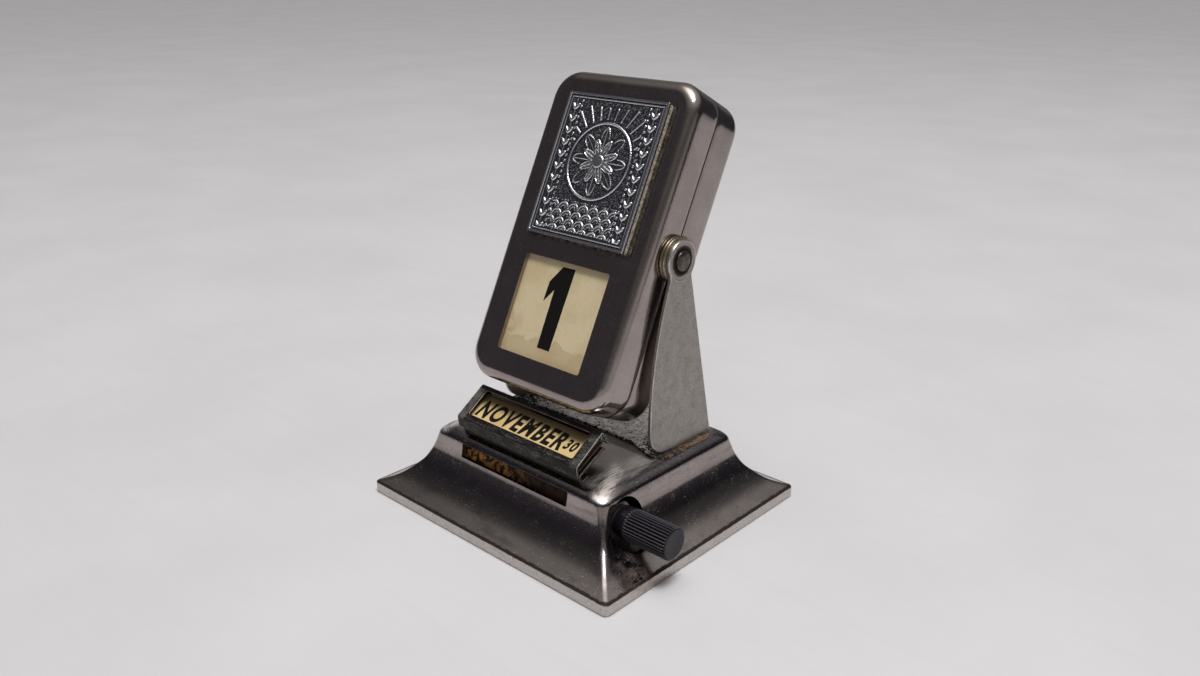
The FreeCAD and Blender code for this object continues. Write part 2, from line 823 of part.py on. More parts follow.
def card_height():
    """Height of a date card."""
    return chamber_half_height() - divider_sheet / 2 - card_end_play


def card_front_y(slot):
    """Front face of the date card in a slot, 0 at the back."""
    back = head_back - head_wall - card_back_play
    return back - slot * (card_thickness + card_film) - card_thickness


def card_divider():
    """Thin shelf between the chambers, one card short at the front and at the back."""
    half = chamber_half_width()
    front = card_front_y(card_count_lower - 1) + card_thickness + divider_front_play
    back = card_front_y(0) - divider_front_play
    low = -head_drop - divider_sheet / 2
    shelf = box(-half + gap, half - gap, front, back, low, low + divider_sheet)
    edges = [e for e in shelf.Edges if e.BoundBox.XLength > half]
    shelf = shelf.makeFillet(divider_sheet * 0.45, edges)
    ears = box(-half - divider_groove, half + divider_groove, -cage_front + divider_ear_inset,
               cage_back - divider_ear_inset, low, low + divider_sheet)
    return shelf.fuse(ears)


def date_card(slot, upper):
    """One date card, standing on the floor of its chamber."""
    if upper:
        low = -head_drop + divider_sheet / 2 + gap
    else:
        low = -head_drop - chamber_half_height() + gap
    front = card_front_y(slot)
    return upright_slab(chamber_half_width() - card_play, card_height() / 2, card_corner, front,
                        front + card_thickness, 0, low + card_height() / 2)


def date_card_travel():
    """How far the shown card can slide up into the free place of the upper chamber."""
    return 2 * chamber_half_height() - card_height() - 2 * gap


def pivot_pin(side):
    """Domed pin, fixed in the cage, running in the eye of a side plate."""
    inner = chamber_half_width() + pin_inset
    outer = arm_outer + eye_dome_gap
    pin = rod(pin_radius, inner, outer + pin_head_height / 3, 0, 0)
    rise = pin_head_height
    bulge = (pin_head_radius ** 2 + rise ** 2) / (2 * rise)
    ball = Part.makeSphere(bulge, V(outer + rise - bulge, 0, 0))
    head = ball.common(rod(pin_head_radius, outer, outer + rise + overrun, 0, 0))
    pin = pin.fuse(head)
    return pin if side > 0 else mirrored(pin)


def pivot_washers(side):
    """Loose washers between the case and a side plate."""
    rings = []
    for i in range(washers_per_side):
        x = head_width / 2 + gap + i * (washer_sheet + gap)
        ring = rod(washer_radius, x, x + washer_sheet, 0, 0)
        rims = [edge for edge in ring.Edges if edge.BoundBox.XLength < gap]
        ring = ring.makeChamfer(washer_sheet / 4, rims)
        ring = ring.cut(rod(pin_radius + washer_bore_play, x - overrun, x + washer_sheet + overrun, 0, 0))
        rings.append(ring if side > 0 else mirrored(ring))
    return rings


def plaque_slab(inset, y0, y1):
    """Rounded plate on the place of the plaque, inset from its edge."""
    return upright_slab(plaque_width / 2 - inset, plaque_height / 2 - inset, plaque_corner,
                        y0, y1, plaque_shift, -head_drop + plaque_rise)


def plaque_backing():
    return plaque_slab(gap, -head_front - plaque_board, -head_front)


def plaque():
    """Thin pressed sheet over the backing, with a raised border."""
    back = -head_front - plaque_board
    face = back - plaque_sheet
    sheet = plaque_slab(0, face - plaque_border_rise, back)
    return sheet.cut(plaque_slab(plaque_border, face - plaque_border_rise - overrun, face))


def build():
    os.makedirs("parts", exist_ok=True)
    save("base_shell", base_shell())
    save("top_plate", top_plate())
    save("side_plate_right", side_plate(1))
    save("side_plate_left", side_plate(-1))
    save("bottom_plate", bottom_plate())
    save("base_pad", base_pad())
    save("bottom_posts", *[bottom_post(x, y) for x, y in post_places()])
    save("base_fasteners", *[bottom_screw(x, y) for x, y in post_places()], *rivets())
    save("roller_cradle", roller_cradle())
    save("month_seat", month_seat())
    save("month_hood", month_hood())

    save("weekday_roller", weekday_roller())
    save("roller_shaft", roller_shaft())
    save("shaft_rings", roller_clip(), spring_washer())
    save("roller_knob", roller_knob())

    for index in range(month_card_count):
        save("month_card_%d" % (index + 1), month_card(index))

    save("front_shell", lean(front_shell()))
    save("rear_shell", lean(rear_shell()))
    save("card_cage", lean(card_cage()))
    save("card_divider", lean(card_divider()))
    save("pivot_pins", *[lean(pivot_pin(side)) for side in (-1, 1)])
    save("pivot_washers", *[lean(ring) for side in (-1, 1) for ring in pivot_washers(side)])
    save("plaque_backing", lean(plaque_backing()))
    save("plaque", lean(plaque()))

    number = 1
    for slot in reversed(range(card_count_lower)):
        save("date_card_%02d" % number, lean(date_card(slot, False)))
        number += 1
    for slot in range(card_count_upper):
        save("date_card_%02d" % number, lean(date_card(slot, True)))
        number += 1
    print("date card travel", round(date_card_travel(), 3))
    print("pivot", round(pivot_y, 4), round(pivot_z, 4), "roller", round(roller_y, 4), round(roller_z, 4))
    print("base", round(base_length, 3), round(base_width, 3))


build()
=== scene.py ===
"""Perpetual desk calendar: fine pieces and finishes on the fixed frame."""
import logging
from cmath import phase, rect
from dataclasses import dataclass, field
from enum import Enum
from functools import partial, reduce
from math import atan, copysign, cos, dist, hypot, pi, radians, sin, sqrt, tan
from typing import Callable, Iterable, Sequence

import bmesh
import bpy
import numpy as np
from mathutils import Matrix, Vector


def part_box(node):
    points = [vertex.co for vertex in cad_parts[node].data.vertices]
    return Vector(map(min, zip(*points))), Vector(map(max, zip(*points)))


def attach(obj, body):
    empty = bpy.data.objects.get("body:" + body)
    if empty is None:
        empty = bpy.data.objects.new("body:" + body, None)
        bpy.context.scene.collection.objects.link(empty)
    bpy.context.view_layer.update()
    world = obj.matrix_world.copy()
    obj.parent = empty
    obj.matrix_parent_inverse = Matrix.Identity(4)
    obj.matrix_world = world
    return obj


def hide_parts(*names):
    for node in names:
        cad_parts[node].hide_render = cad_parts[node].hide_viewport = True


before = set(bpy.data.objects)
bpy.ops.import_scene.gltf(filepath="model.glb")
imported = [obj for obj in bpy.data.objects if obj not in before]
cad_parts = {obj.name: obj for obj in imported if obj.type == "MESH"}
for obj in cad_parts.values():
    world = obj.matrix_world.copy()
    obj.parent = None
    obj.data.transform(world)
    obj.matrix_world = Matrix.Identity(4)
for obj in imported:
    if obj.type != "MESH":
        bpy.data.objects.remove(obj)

Flat = tuple[float, float]
Trio = tuple[float, float, float]
Point = Trio
Colour = tuple[float, float, float, float]
Piece = bpy.types.Object
Material = bpy.types.Material
Socket = bpy.types.NodeSocket
Feed = float | Colour | Socket

MM = 0.001
SHARP_EDGE = 35  # least angle of an edge that is rounded, in degrees

# Sizes that several pieces share, in millimetres and degrees, taken from the frame's source
BASE_TOP = 21.2
ARM_OUTER = 27.8
HEAD_PIVOT: Flat = (6.8905, 73.3949)
HEAD_ORIGIN: Point = (0.0, *HEAD_PIVOT)
HEAD_LEAN = 26.3
HEAD_FRONT = 10.1
ROLLER_AXIS: Flat = (-19.6931, 12.3)
ROLLER_RADIUS = 6.4
HOOD_APEX: Flat = (-16.6935, 32.7)
HOOD_TILT = 33.7
PLAQUE_CENTRE: Flat = (1.4, 16.45)

LOG = logging.getLogger("desk_calendar")


def linear(value: float) -> float:
    """Return an sRGB channel between 0 and 1 as linear light."""
    return value / 12.92 if value <= 0.04045 else ((value + 0.055) / 1.055) ** 2.4


def paint(red: float, green: float, blue: float) -> Colour:
    """Return a colour from sRGB values between 0 and 255."""
    return (linear(red / 255), linear(green / 255), linear(blue / 255), 1.0)


class Body(Enum):
    """Moving bodies of the calendar."""

    BASE = "base"
    ROLLER = "roller"
    HEAD = "head"
    SHOWN_CARD = "shown_date_card"


# Meshes


def put(name: str, data: bpy.types.ID) -> Piece:
    """Put a new object with this data in the scene.

    Args:
        name: Name of the object.
        data: Its mesh, curve, camera or light.

    Returns:
        The object.
    """
    piece = bpy.data.objects.new(name, data)
    bpy.context.scene.collection.objects.link(piece)
    return piece


@dataclass
class Solid:
    """A mesh being built, in millimetres."""

    points: list[Point] = field(default_factory=list)  # Corners so far
    faces: list[tuple[int, ...]] = field(default_factory=list)  # Faces so far, as rows of corner numbers

    def ring(self, places: Iterable[Point]) -> list[int]:
        """Add a row of corners.

        Args:
            places: The corners in order.

        Returns:
            Their numbers.
        """
        start = len(self.points)
        self.points.extend(places)
        return list(range(start, len(self.points)))

    def skin(self, one: Sequence[int], two: Sequence[int], closed: bool = True) -> None:
        """Join two rows of equal length with quads.

        Args:
            one: Numbers of the first row.
            two: Numbers of the second row.
            closed: Whether the rows are closed loops.
        """
        count = len(one)
        for i in range(count if closed else count - 1):
            k = (i + 1) % count
            self.faces.append((one[i], one[k], two[k], two[i]))

    def cap(self, ring: Sequence[int]) -> None:
        """Close a loop with one face."""
        self.faces.append(tuple(ring))

    def strip(self, rows: Sequence[Sequence[int]], closed: bool = True) -> None:
        """Join successive rows.

        Args:
            rows: Numbers of each row.
            closed: Whether the rows are closed loops.
        """
        for one, two in zip(rows, rows[1:]):
            self.skin(one, two, closed)

    def tube(self, rings: Sequence[Iterable[Point]]) -> None:
        """Add a closed skin through successive loops.

        Args:
            rings: The loops, all of one length.
        """
        numbers = [self.ring(r) for r in rings]
        self.strip(numbers)
        self.cap(numbers[0][::-1])
        self.cap(numbers[-1])

    def build(self, name: str, place: Matrix | None = None) -> Piece:
        """Make the object.

        Args:
            name: Name of the object.
            place: Where it stands, in metres.

        Returns:
            The new object.
        """
        mesh = bpy.data.meshes.new(name)
        mesh.from_pydata([tuple(c * MM for c in p) for p in self.points], [], self.faces)
        work = bmesh.new()
        work.from_mesh(mesh)
        bmesh.ops.recalc_face_normals(work, faces=work.faces)
        work.to_mesh(mesh)
        work.free()
        if place is not None:
            mesh.transform(place)
        return put(name, mesh)


def settle(piece: Piece) -> Piece:
    """Apply all modifiers of a piece.

    Args:
        piece: The object.

    Returns:
        The same object.
    """
    bpy.context.view_layer.update()
    graph = bpy.context.evaluated_depsgraph_get()
    mesh = bpy.data.meshes.new_from_object(piece.evaluated_get(graph))
    piece.modifiers.clear()
    piece.data = mesh
    return piece


def cut(piece: Piece, *tools: Piece) -> Piece:
    """Take cutters away from a piece.

    Args:
        piece: The object to be cut.
        tools: Closed cutters, deleted afterwards.

    Returns:
        The cut object.
    """
    for tool in tools:
        step = piece.modifiers.new("cut", "BOOLEAN")
        step.operation = "DIFFERENCE"
        step.solver = "EXACT"
        step.object = tool
    settle(piece)
    for tool in tools:
        bpy.data.objects.remove(tool)
    return piece


def shade(piece: Piece, angle: float = 40, weighted: bool = False) -> Piece:
    """Shade a piece smoothly but for its sharp edges.

    Args:
        piece: The object.
        angle: Least angle of an edge that stays sharp, in degrees.
        weighted: Whether large faces keep their own direction.

    Returns:
        The same object.
    """
    work = bmesh.new()
    work.from_mesh(piece.data)
    for face in work.faces:
        face.smooth = True
    for edge in work.edges:
        edge.smooth = len(edge.link_faces) == 2 and edge.calc_face_angle(0) < radians(angle)
    work.to_mesh(piece.data)
    work.free()
    if weighted:
        step = piece.modifiers.new("weigh", "WEIGHTED_NORMAL")
        step.keep_sharp = True
        settle(piece)
    return piece


def soften(piece: Piece, width: float, segments: int = 2, finishes: Sequence[Material] = ()) -> Piece:
    """Round the sharp edges of a piece, and shade it so that its flat faces look flat.

    Args:
        piece: The object.
        width: Width of the rounding in millimetres.
        segments: Steps across it.
        finishes: Material of the faces and another one of the rounded edges.

    Returns:
        The same object.
    """
    step = piece.modifiers.new("soften", "BEVEL")
    step.width = width * MM
    step.segments = segments
    step.limit_method = "ANGLE"
    step.angle_limit = radians(SHARP_EDGE)
    step.miter_outer = "MITER_ARC"
    for finish in finishes:
        piece.data.materials.append(finish)
    step.material = 1 if finishes else -1
    return shade(settle(piece), 50, True)


def between(one: Flat, two: Flat, share: float) -> Flat:
    """Point at a share of the way from one to two."""
    return (one[0] + (two[0] - one[0]) * share, one[1] + (two[1] - one[1]) * share)


def on_arc(centre: Flat, radius: float, start: float, end: float, steps: int) -> list[Flat]:
    """Points of an arc, both its ends included."""
    turns = [start + (end - start) * k / steps for k in range(steps + 1)]
    return [(centre[0] + radius * cos(t), centre[1] + radius * sin(t)) for t in turns]


def rounded_loop(half_a: float, half_b: float, corner: float, arc: int = 10, along: int = 1,
                 across: int = 1) -> list[Flat]:
    """Outline of a rounded rectangle about the origin.

    Args:
        half_a: Half its first size.
        half_b: Half its second size.
        corner: Corner radius.
        arc: Steps in a corner.
        along: Steps in a side that runs along the first axis.
        across: Steps in a side that runs along the second axis.

    Returns:
        Its points, counter-clockwise.
    """
    corner = min(corner, half_a, half_b)
    flats = ((half_a - corner, half_b - corner), (corner - half_a, half_b - corner),
             (corner - half_a, corner - half_b), (half_a - corner, corner - half_b))
    loop: list[Flat] = []
    for i, flat in enumerate(flats):
        turns = (pi / 2 * i, pi / 2 * (i + 1))
        bend = on_arc(flat, corner, *turns, arc)
        after = on_arc(flats[(i + 1) % 4], corner, turns[1], turns[1], 1)[0]
        steps = along if i % 2 == 0 else across
        loop += bend[:-1] + [between(bend[-1], after, k / steps) for k in range(steps)]
    return loop


def bent_path(points: Sequence[Flat], radius: float, steps: int = 5) -> list[tuple[Flat, Flat]]:
    """A folded line with rounded bends.

    Args:
        points: Corners of the line.
        radius: Radius of the bends.
        steps: Steps in a bend.

    Returns:
        Points of the line, each with the unit normal on its left.
    """
    spots = [complex(*point) for point in points]
    ways = [(after - spot) / abs(after - spot) for spot, after in zip(spots, spots[1:])]
    rows = [(spots[0], ways[0] * 1j)]
    for spot, into, out in zip(spots[1:], ways, ways[1:]):
        turn = phase(out / into)
        bow = copysign(radius, turn)
        centre = spot - into * radius * tan(abs(turn) / 2) + into * 1j * bow
        for k in range(steps + 1):
            left = into * 1j * rect(1, turn * k / steps)
            rows.append((centre - left * bow, left))
    rows.append((spots[-1], ways[-1] * 1j))
    return [((spot.real, spot.imag), (left.real, left.imag)) for spot, left in rows]


def sheet_strip(name: str, points: Sequence[Flat], sheet: float, x0: float, x1: float,
                radius: float, pieces: int = 24) -> Piece:
    """Folded sheet of even thickness, carried along X.

    Args:
        name: Name of the object.
        points: Fold line as (y, z) points; the sheet lies on its left.
        sheet: Thickness.
        x0: Left end.
        x1: Right end.
        radius: Bend radius on the fold line.
        pieces: Steps along X.

    Returns:
        The sheet.
    """
    rows = bent_path(points, radius)
    outer = [p for p, _ in rows]
    inner = [(p[0] + n[0] * sheet, p[1] + n[1] * sheet) for p, n in rows]
    outline = outer + inner[::-1]
    solid = Solid()
    solid.tube([[(x0 + (x1 - x0) * k / pieces, y, z) for y, z in outline] for k in range(pieces + 1)])
    return solid.build(name)


def plate(name: str, outline: Sequence[Flat], low: float, high: float,
          lay: Callable[[float, float, float], Point], place: Matrix | None = None) -> Piece:
    """Flat plate between two depths.

    Args:
        name: Name of the object.
        outline: Its outline.
        low: One depth.
        high: The other depth.
        lay: Turns outline coordinates and a depth into a place.
        place: Where the object stands.

    Returns:
        The plate.
    """
    solid = Solid()
    solid.tube([[lay(a, b, d) for a, b in outline] for d in (low, high)])
    return solid.build(name, place)


def circle(a: float, b: float, radius: float, steps: int) -> list[Flat]:
    """Points of a circle about a centre."""
    turns = [2 * pi * k / steps for k in range(steps)]
    return [(a + radius * cos(t), b + radius * sin(t)) for t in turns]


def turned(name: str, rows: Sequence[Flat], y: float, z: float, steps: int = 72) -> Piece:
    """Turned piece about an axis along X.

    Args:
        name: Name of the object.
        rows: Its closed half profile as (x, radius) points.
        y: Y of the axis.
        z: Z of the axis.
        steps: Steps round the axis.

    Returns:
        The piece.
    """
    solid = Solid()
    rings = [solid.ring([(x, *p) for p in circle(y, z, radius, steps)]) for x, radius in rows]
    solid.strip(rings + rings[:1])
    return solid.build(name)


def lying(a: float, b: float, d: float) -> Point:
    """Place for an outline that lies flat."""
    return (a, b, d)


def standing(a: float, b: float, d: float) -> Point:
    """Place for an outline that stands in the XZ plane."""
    return (a, d, b)


def sideways(a: float, b: float, d: float) -> Point:
    """Place for an outline that stands in the YZ plane."""
    return (d, a, b)


def block(name: str, low: Point, high: Point) -> Piece:
    """Square cutter between two corners.

    Args:
        name: Name of the object.
        low: Lowest corner.
        high: Highest corner.

    Returns:
        The cutter.
    """
    outline = [(low[0], low[1]), (high[0], low[1]), (high[0], high[1]), (low[0], high[1])]
    return plate(name, outline, low[2], high[2], lying)


# Finishes


class Nodes:
    """A node tree being filled."""

    def __init__(self, tree: bpy.types.NodeTree) -> None:
        """Start an empty tree.

        Args:
            tree: The tree of a material or a world.
        """
        self.tree = tree
        self.tree.nodes.clear()

    def feed(self, inputs: bpy.types.NodeInputs, values: dict[int | str, Feed | Sequence[float]]) -> None:
        """Set or link some inputs.

        Args:
            inputs: The inputs of a node.
            values: Value or link of each one, by its name or number.
        """
        for name, value in values.items():
            if isinstance(value, Socket):
                self.tree.links.new(value, inputs[name])
            else:
                inputs[name].default_value = value

    def node(self, kind: str, inputs: dict[int | str, Feed | Sequence[float]], **settings: str) -> bpy.types.Node:
        """Add a node.

        Args:
            kind: Its type, without the prefix that all have.
            inputs: Value or link of each input that is set.
            settings: Its own settings.

        Returns:
            The node.
        """
        made = self.tree.nodes.new("ShaderNode" + kind)
        for name, value in settings.items():
            setattr(made, name, value)
        self.feed(made.inputs, inputs)
        return made

    def calc(self, kind: str, one: Feed, two: Feed = 0.0) -> Socket:
        """Result of an operation of Blender's Math node."""
        return self.node("Math", {0: one, 1: two}, operation=kind).outputs[0]

    def vector(self, kind: str, one: Feed, two: Sequence[float]) -> Socket:
        """Result of an operation of Blender's Vector Math node."""
        return self.node("VectorMath", {0: one, 1: two}, operation=kind).outputs[0]

    def step(self, value: Feed, start: float, end: float) -> Socket:
        """Smooth step of a value, from 0 at its start to 1 at its end.

        Args:
            value: The value.
            start: Where the result is 0.
            end: Where it is 1.

        Returns:
            The result.
        """
        low, high = sorted((start, end))
        ends = {"From Min": low, "From Max": high, "To Min": float(start > end), "To Max": float(start <= end)}
        return self.node("MapRange", {"Value": value, **ends}, interpolation_type="SMOOTHSTEP").outputs["Result"]

    def mix(self, one: Feed, two: Feed, share: Feed) -> Socket:
        """Mix of two colours, the second one at share 1."""
        return self.node("Mix", {0: share, 6: one, 7: two}, data_type="RGBA").outputs[2]


class Recipe(Nodes):
    """Node tree of one procedural finish, in millimetres of the piece's own space."""

    def __init__(self, name: str, origin: Point = (0, 0, 0), turn: float = 0) -> None:
        """Start a material.

        Args:
            name: Name of the material.
            origin: Origin of its coordinates, in millimetres.
            turn: Turn of the coordinates about X, in degrees.
        """
        self.material = bpy.data.materials.new(name)
        self.material.use_nodes = True
        super().__init__(self.material.node_tree)
        self.shader = self.node("BsdfPrincipled", {})
        self.node("OutputMaterial", {0: self.shader.outputs[0]})
        own = self.node("TexCoord", {}).outputs["Object"]
        self.place = self.vector("MULTIPLY", own, (1 / MM, 1 / MM, 1 / MM))
        if turn:
            moved = self.vector("SUBTRACT", self.place, origin)
            turned_by = {"Vector": moved, "Angle": radians(turn)}
            self.place = self.node("VectorRotate", turned_by, rotation_type="X_AXIS").outputs[0]
        self.x, self.y, self.z = self.node("SeparateXYZ", {0: self.place}).outputs

    def spot(self, stretch: Sequence[float], seed: float) -> Socket:
        """Place, stretched and moved by a seed."""
        moved = self.vector("ADD", self.place, (seed * 17.3, seed * 5.1, seed * 9.7))
        return self.vector("MULTIPLY", moved, tuple(stretch))

    def noise(self, size: float, detail: float = 4, rough: float = 0.55,
              stretch: Sequence[float] = (1, 1, 1), seed: float = 0, twist: float = 0) -> Socket:
        """Cloudy pattern.

        Args:
            size: Size of its clouds in millimetres.
            detail: Levels of detail.
            rough: Share of the fine levels.
            stretch: Factors on the coordinates; a small one makes streaks along that axis.
            seed: Picks another part of the pattern.
            twist: Distortion.

        Returns:
            Value about 0.5.
        """
        return self.node("TexNoise", {"Vector": self.spot(stretch, seed), "Scale": 1 / size, "Detail": detail,
                                      "Roughness": rough, "Distortion": twist}).outputs["Fac"]

    def cells(self, size: float, seed: float = 0) -> Socket:
        """Distance from the nearest of scattered points, as a share of their mean distance."""
        return self.node("TexVoronoi", {"Vector": self.spot((1, 1, 1), seed), "Scale": 1 / size}).outputs["Distance"]

    def patch(self, low: float, high: float, *noise: float | Sequence[float], **more: float) -> Socket:
        """Patches where a noise of these sizes steps up from low to high."""
        return self.step(self.noise(*noise, **more), low, high)

    def drift(self, reach: float, *noise: float, **more: float) -> Socket:
        """Shift about zero by a noise of these sizes."""
        return self.both(self.less(self.noise(*noise, **more), 0.5), reach)

    def add(self, one: Feed, two: Feed) -> Socket:
        """Sum of two values."""
        return self.calc("ADD", one, two)

    def less(self, one: Feed, two: Feed) -> Socket:
        """Difference of two values."""
        return self.calc("SUBTRACT", one, two)

    def rest(self, share: Feed) -> Socket:
        """What a mask leaves free."""
        return self.less(1.0, share)

    def size(self, value: Feed) -> Socket:
        """Value without its sign."""
        return self.calc("ABSOLUTE", value)

    def away(self, y: float, z: float) -> Socket:
        """Distance from an axis along X.

        Args:
            y: Y of the axis.
            z: Z of the axis.

        Returns:
            The distance.
        """
        across, upward = self.less(self.y, y), self.less(self.z, z)
        return self.calc("SQRT", self.add(self.both(across, across), self.both(upward, upward)))

    def near(self, axis: Feed, centre: float, reach: float) -> Socket:
        """Hump of a value about a centre, gone at the reach."""
        return self.step(self.size(self.less(axis, centre)), reach, 0)

    def both(self, *values: Feed) -> Socket:
        """Product of several masks."""
        return reduce(partial(self.calc, "MULTIPLY"), values)

    def most(self, *values: Feed) -> Socket:
        """Largest of several masks."""
        return reduce(partial(self.calc, "MAXIMUM"), values)

    def coat(self, colour: Feed, *layers: tuple[Feed, Feed]) -> Socket:
        """Colour under layers, each one a colour and its mask."""
        return reduce(lambda under, layer: self.mix(under, *layer), layers, colour)

    def slide(self, one: float, two: float, share: Feed) -> Socket:
        """Value that goes from one to two with the share."""
        return self.add(self.both(share, two - one), one)

    def mark(self, name: str) -> Socket:
        """Value stored on the mesh under a name."""
        return self.node("Attribute", {}, attribute_name=name).outputs["Fac"]

    def bump(self, height: Feed, depth: float, under: Socket | None = None) -> Socket:
        """Surface relief.

        Args:
            height: Height pattern.
            depth: Height of its full range in millimetres.
            under: Relief below this one.

        Returns:
            The normal.
        """
        inputs = {"Strength": 1.0, "Distance": depth * MM, "Height": height}
        return self.node("Bump", inputs | ({"Normal": under} if under else {})).outputs[0]

    def done(self, colour: Feed, metal: Feed, rough: Feed, normal: Socket, **others: float) -> Material:
        """Set the shader.

        Args:
            colour: Base colour.
            metal: Metallic value.
            rough: Roughness.
            normal: Relief.
            others: Constant shader inputs, with spaces as underscores.

        Returns:
            The finished material.
        """
        named = {"Base Color": colour, "Metallic": metal, "Roughness": rough, "Normal": normal}
        self.feed(self.shader.inputs, named | {name.replace("_", " "): value for name, value in others.items()})
        return self.material


@dataclass(frozen=True)
class Chrome:
    """Old bright plating with fine scratches, specks and a film of dirt."""

    bright: Colour = (0.38, 0.337, 0.318, 1)  # Colour of clean plating
    film: Colour = (0.315, 0.272, 0.253, 1)  # Colour of the thin film
    dirt: Colour = (0.016, 0.012, 0.0125, 1)  # Colour of specks and lines of dirt
    grime: Colour = (0.12, 0.10, 0.09, 1)  # Colour of grime
    dull: Colour = (0.125, 0.110, 0.125, 1)  # Colour of tarnish streaks, and of painted shade on the base's flare and shoulder
    rubbed: Colour = (0.64, 0.60, 0.56, 1)  # Colour of pale dust, and of painted highlights and a painted reflection on the base
    scratch: Colour = (0.60, 0.58, 0.56, 1)  # Colour of scratches
    rust: Colour = (0.26, 0.11, 0.035, 1)  # Colour of fresh rust
    old_rust: Colour = (0.09, 0.042, 0.018, 1)  # Colour of old rust
    rough: float = 0.115  # Roughness of clean plating
    wave: float = 0.010  # Height of its slow waviness in millimetres

    def scratches(self, r: Recipe) -> Socket:
        """Fine scratches in three directions.

        Args:
            r: The recipe.

        Returns:
            Mask of the scratches.
        """
        lines = []
        for i, stretch in enumerate(((0.06, 1, 1), (1, 0.08, 0.5), (0.7, 1, 0.07))):
            line = r.noise(0.17, 2, 0.5, stretch, seed=i + 3)
            where = r.noise(4.0, 3, 0.6, seed=i + 11)
            lines.append(r.both(r.step(line, 0.62, 0.70), r.step(where, 0.46, 0.62)))
        return r.most(*lines)

    def specks(self, r: Recipe, size: float, share: float, patch: float) -> Socket:
        """Small pits scattered in patches.

        Args:
            r: The recipe.
            size: Distance between the pits.
            share: Radius of a pit as a share of it.
            patch: Size of the patches.

        Returns:
            Mask of the pits.
        """
        where = r.patch(0.48, 0.66, patch, 3, 0.6, seed=21 + size)
        return r.both(r.step(r.cells(size, seed=5), share, share * 0.4), where)

    def surface(self, r: Recipe, dirt: Feed, rust: Feed, specks: float = 0.8,
                pale_dust_and_highlight: Feed = 0.0, shade_and_tarnish: Feed = 0.0, lines: float = 1.0) -> Material:
        """Put the plating together.

        Args:
            r: The recipe.
            dirt: Mask of dirt that belongs to the piece, on the base with the dark line above the rim.
            rust: Mask of rust that belongs to the piece.
            specks: Strength of the specks.
            pale_dust_and_highlight: Mask of pale dust, and on the base of painted highlights and a painted
                reflection on the rim.
            shade_and_tarnish: Mask of tarnish streaks and of painted shade, in the dull colour.
            lines: Strength of the scratches.

        Returns:
            The material.
        """
        cloud = r.patch(0.25, 0.80, 9.0, 4, 0.55, seed=1)
        scratch = r.both(self.scratches(r), lines)
        speck = r.both(r.most(self.specks(r, 0.9, 0.17, 8.0), self.specks(r, 0.42, 0.20, 5.0)), specks)
        colour = r.mix(self.bright, self.film, cloud)
        grime = r.patch(0.50, 0.70, 0.42, 4, 0.75, seed=17)
        colour = r.coat(colour, (self.grime, r.both(grime, 0.42)), (self.dull, shade_and_tarnish), (self.rubbed, pale_dust_and_highlight),
                        (self.dirt, speck), (self.scratch, r.both(scratch, 0.5)), (self.dirt, dirt))
        rusty = r.mix(self.rust, self.old_rust, r.noise(0.7, 4, 0.6, seed=8))
        colour = r.mix(colour, rusty, rust)
        rough = r.slide(self.rough, self.rough + 0.07, cloud)
        rough = r.add(rough, r.most(r.both(scratch, 0.22), r.both(pale_dust_and_highlight, 0.20)))
        rough = r.add(rough, r.both(r.most(speck, dirt, rust), 0.40))
        metal = r.rest(r.most(r.both(rust, 0.85), r.both(pale_dust_and_highlight, 0.42)))
        slow = r.bump(r.noise(15.0, 1, 0.4, seed=2), self.wave)
        fine = r.bump(r.noise(0.36, 4, 0.7, seed=7), 0.0028, slow)
        normal = r.bump(r.add(scratch, speck), -0.004, fine)
        return r.done(colour, metal, rough, normal)

    def for_base(self) -> Material:
        """Plating of the base shell, with painted shade on its flare and shoulder and painted highlights on its rim,
        its hips and the flat top's ends.

        Returns:
            The material.
        """
        r = Recipe("base_chrome")
        # A dark ragged line along the crease above the rim
        ragged = r.add(r.z, r.drift(0.45, 1.6, 4, 0.6, seed=31))
        line = r.step(r.size(r.less(ragged, 3.05)), 0.30, 0.12)
        flat = r.step(r.z, 20.9, 21.19)
        foot = r.both(flat, r.patch(0.56, 0.72, 0.8, 5, 0.65, seed=33), 0.35)
        edge = r.both(r.step(r.y, -3.6, -2.3), flat, 0.6)
        stain = r.both(r.patch(0.60, 0.76, 3.2, 4, 0.65, seed=35), 0.22)
        low = r.step(r.z, 3.0, 2.8)
        rim = r.both(low, r.patch(0.54, 0.70, 0.9, 5, 0.7, seed=37), 0.30)
        # Dirt, and the dark line above the rim
        dirt = r.most(r.both(line, 0.92), foot, edge, stain, rim)
        # Painted shade: the middle of the flare darkened to stand in for its dark reflection, with streaks of
        # tarnish above the rim
        shade_and_tarnish = r.both(r.near(r.z, 9.8, 6.2), r.slide(0.55, 1.0, r.noise(5.0, 4, 0.6, seed=39)))
        smear = r.both(r.patch(0.50, 0.66, 2.6, 5, 0.68, (0.16, 0.16, 1), seed=49), 0.55)
        shade_and_tarnish = r.most(shade_and_tarnish, r.both(smear, r.step(r.z, 3.2, 4.0)))
        streaks = r.noise(0.5, 4, 0.6, (1, 0.12, 1), seed=45)
        wide = r.size(r.x)
        slant = r.add(wide, r.both(r.add(r.y, 26.0), 0.45))
        # Painted highlight: streaky lightening on the hips of the front corners and on the flat top's ends (carried
        # as worn below)
        hip_highlight = r.both(r.near(slant, 30.3, 4.6), r.step(r.y, -8.0, -14.0), r.step(r.z, 18.6, 19.8))
        top_highlight = r.both(r.step(r.z, 20.4, 21.1), r.step(wide, 21, 24), 0.45)
        worn = r.both(r.most(r.both(hip_highlight, 1.15), top_highlight), r.slide(0.5, 1.2, r.step(streaks, 0.38, 0.62)))
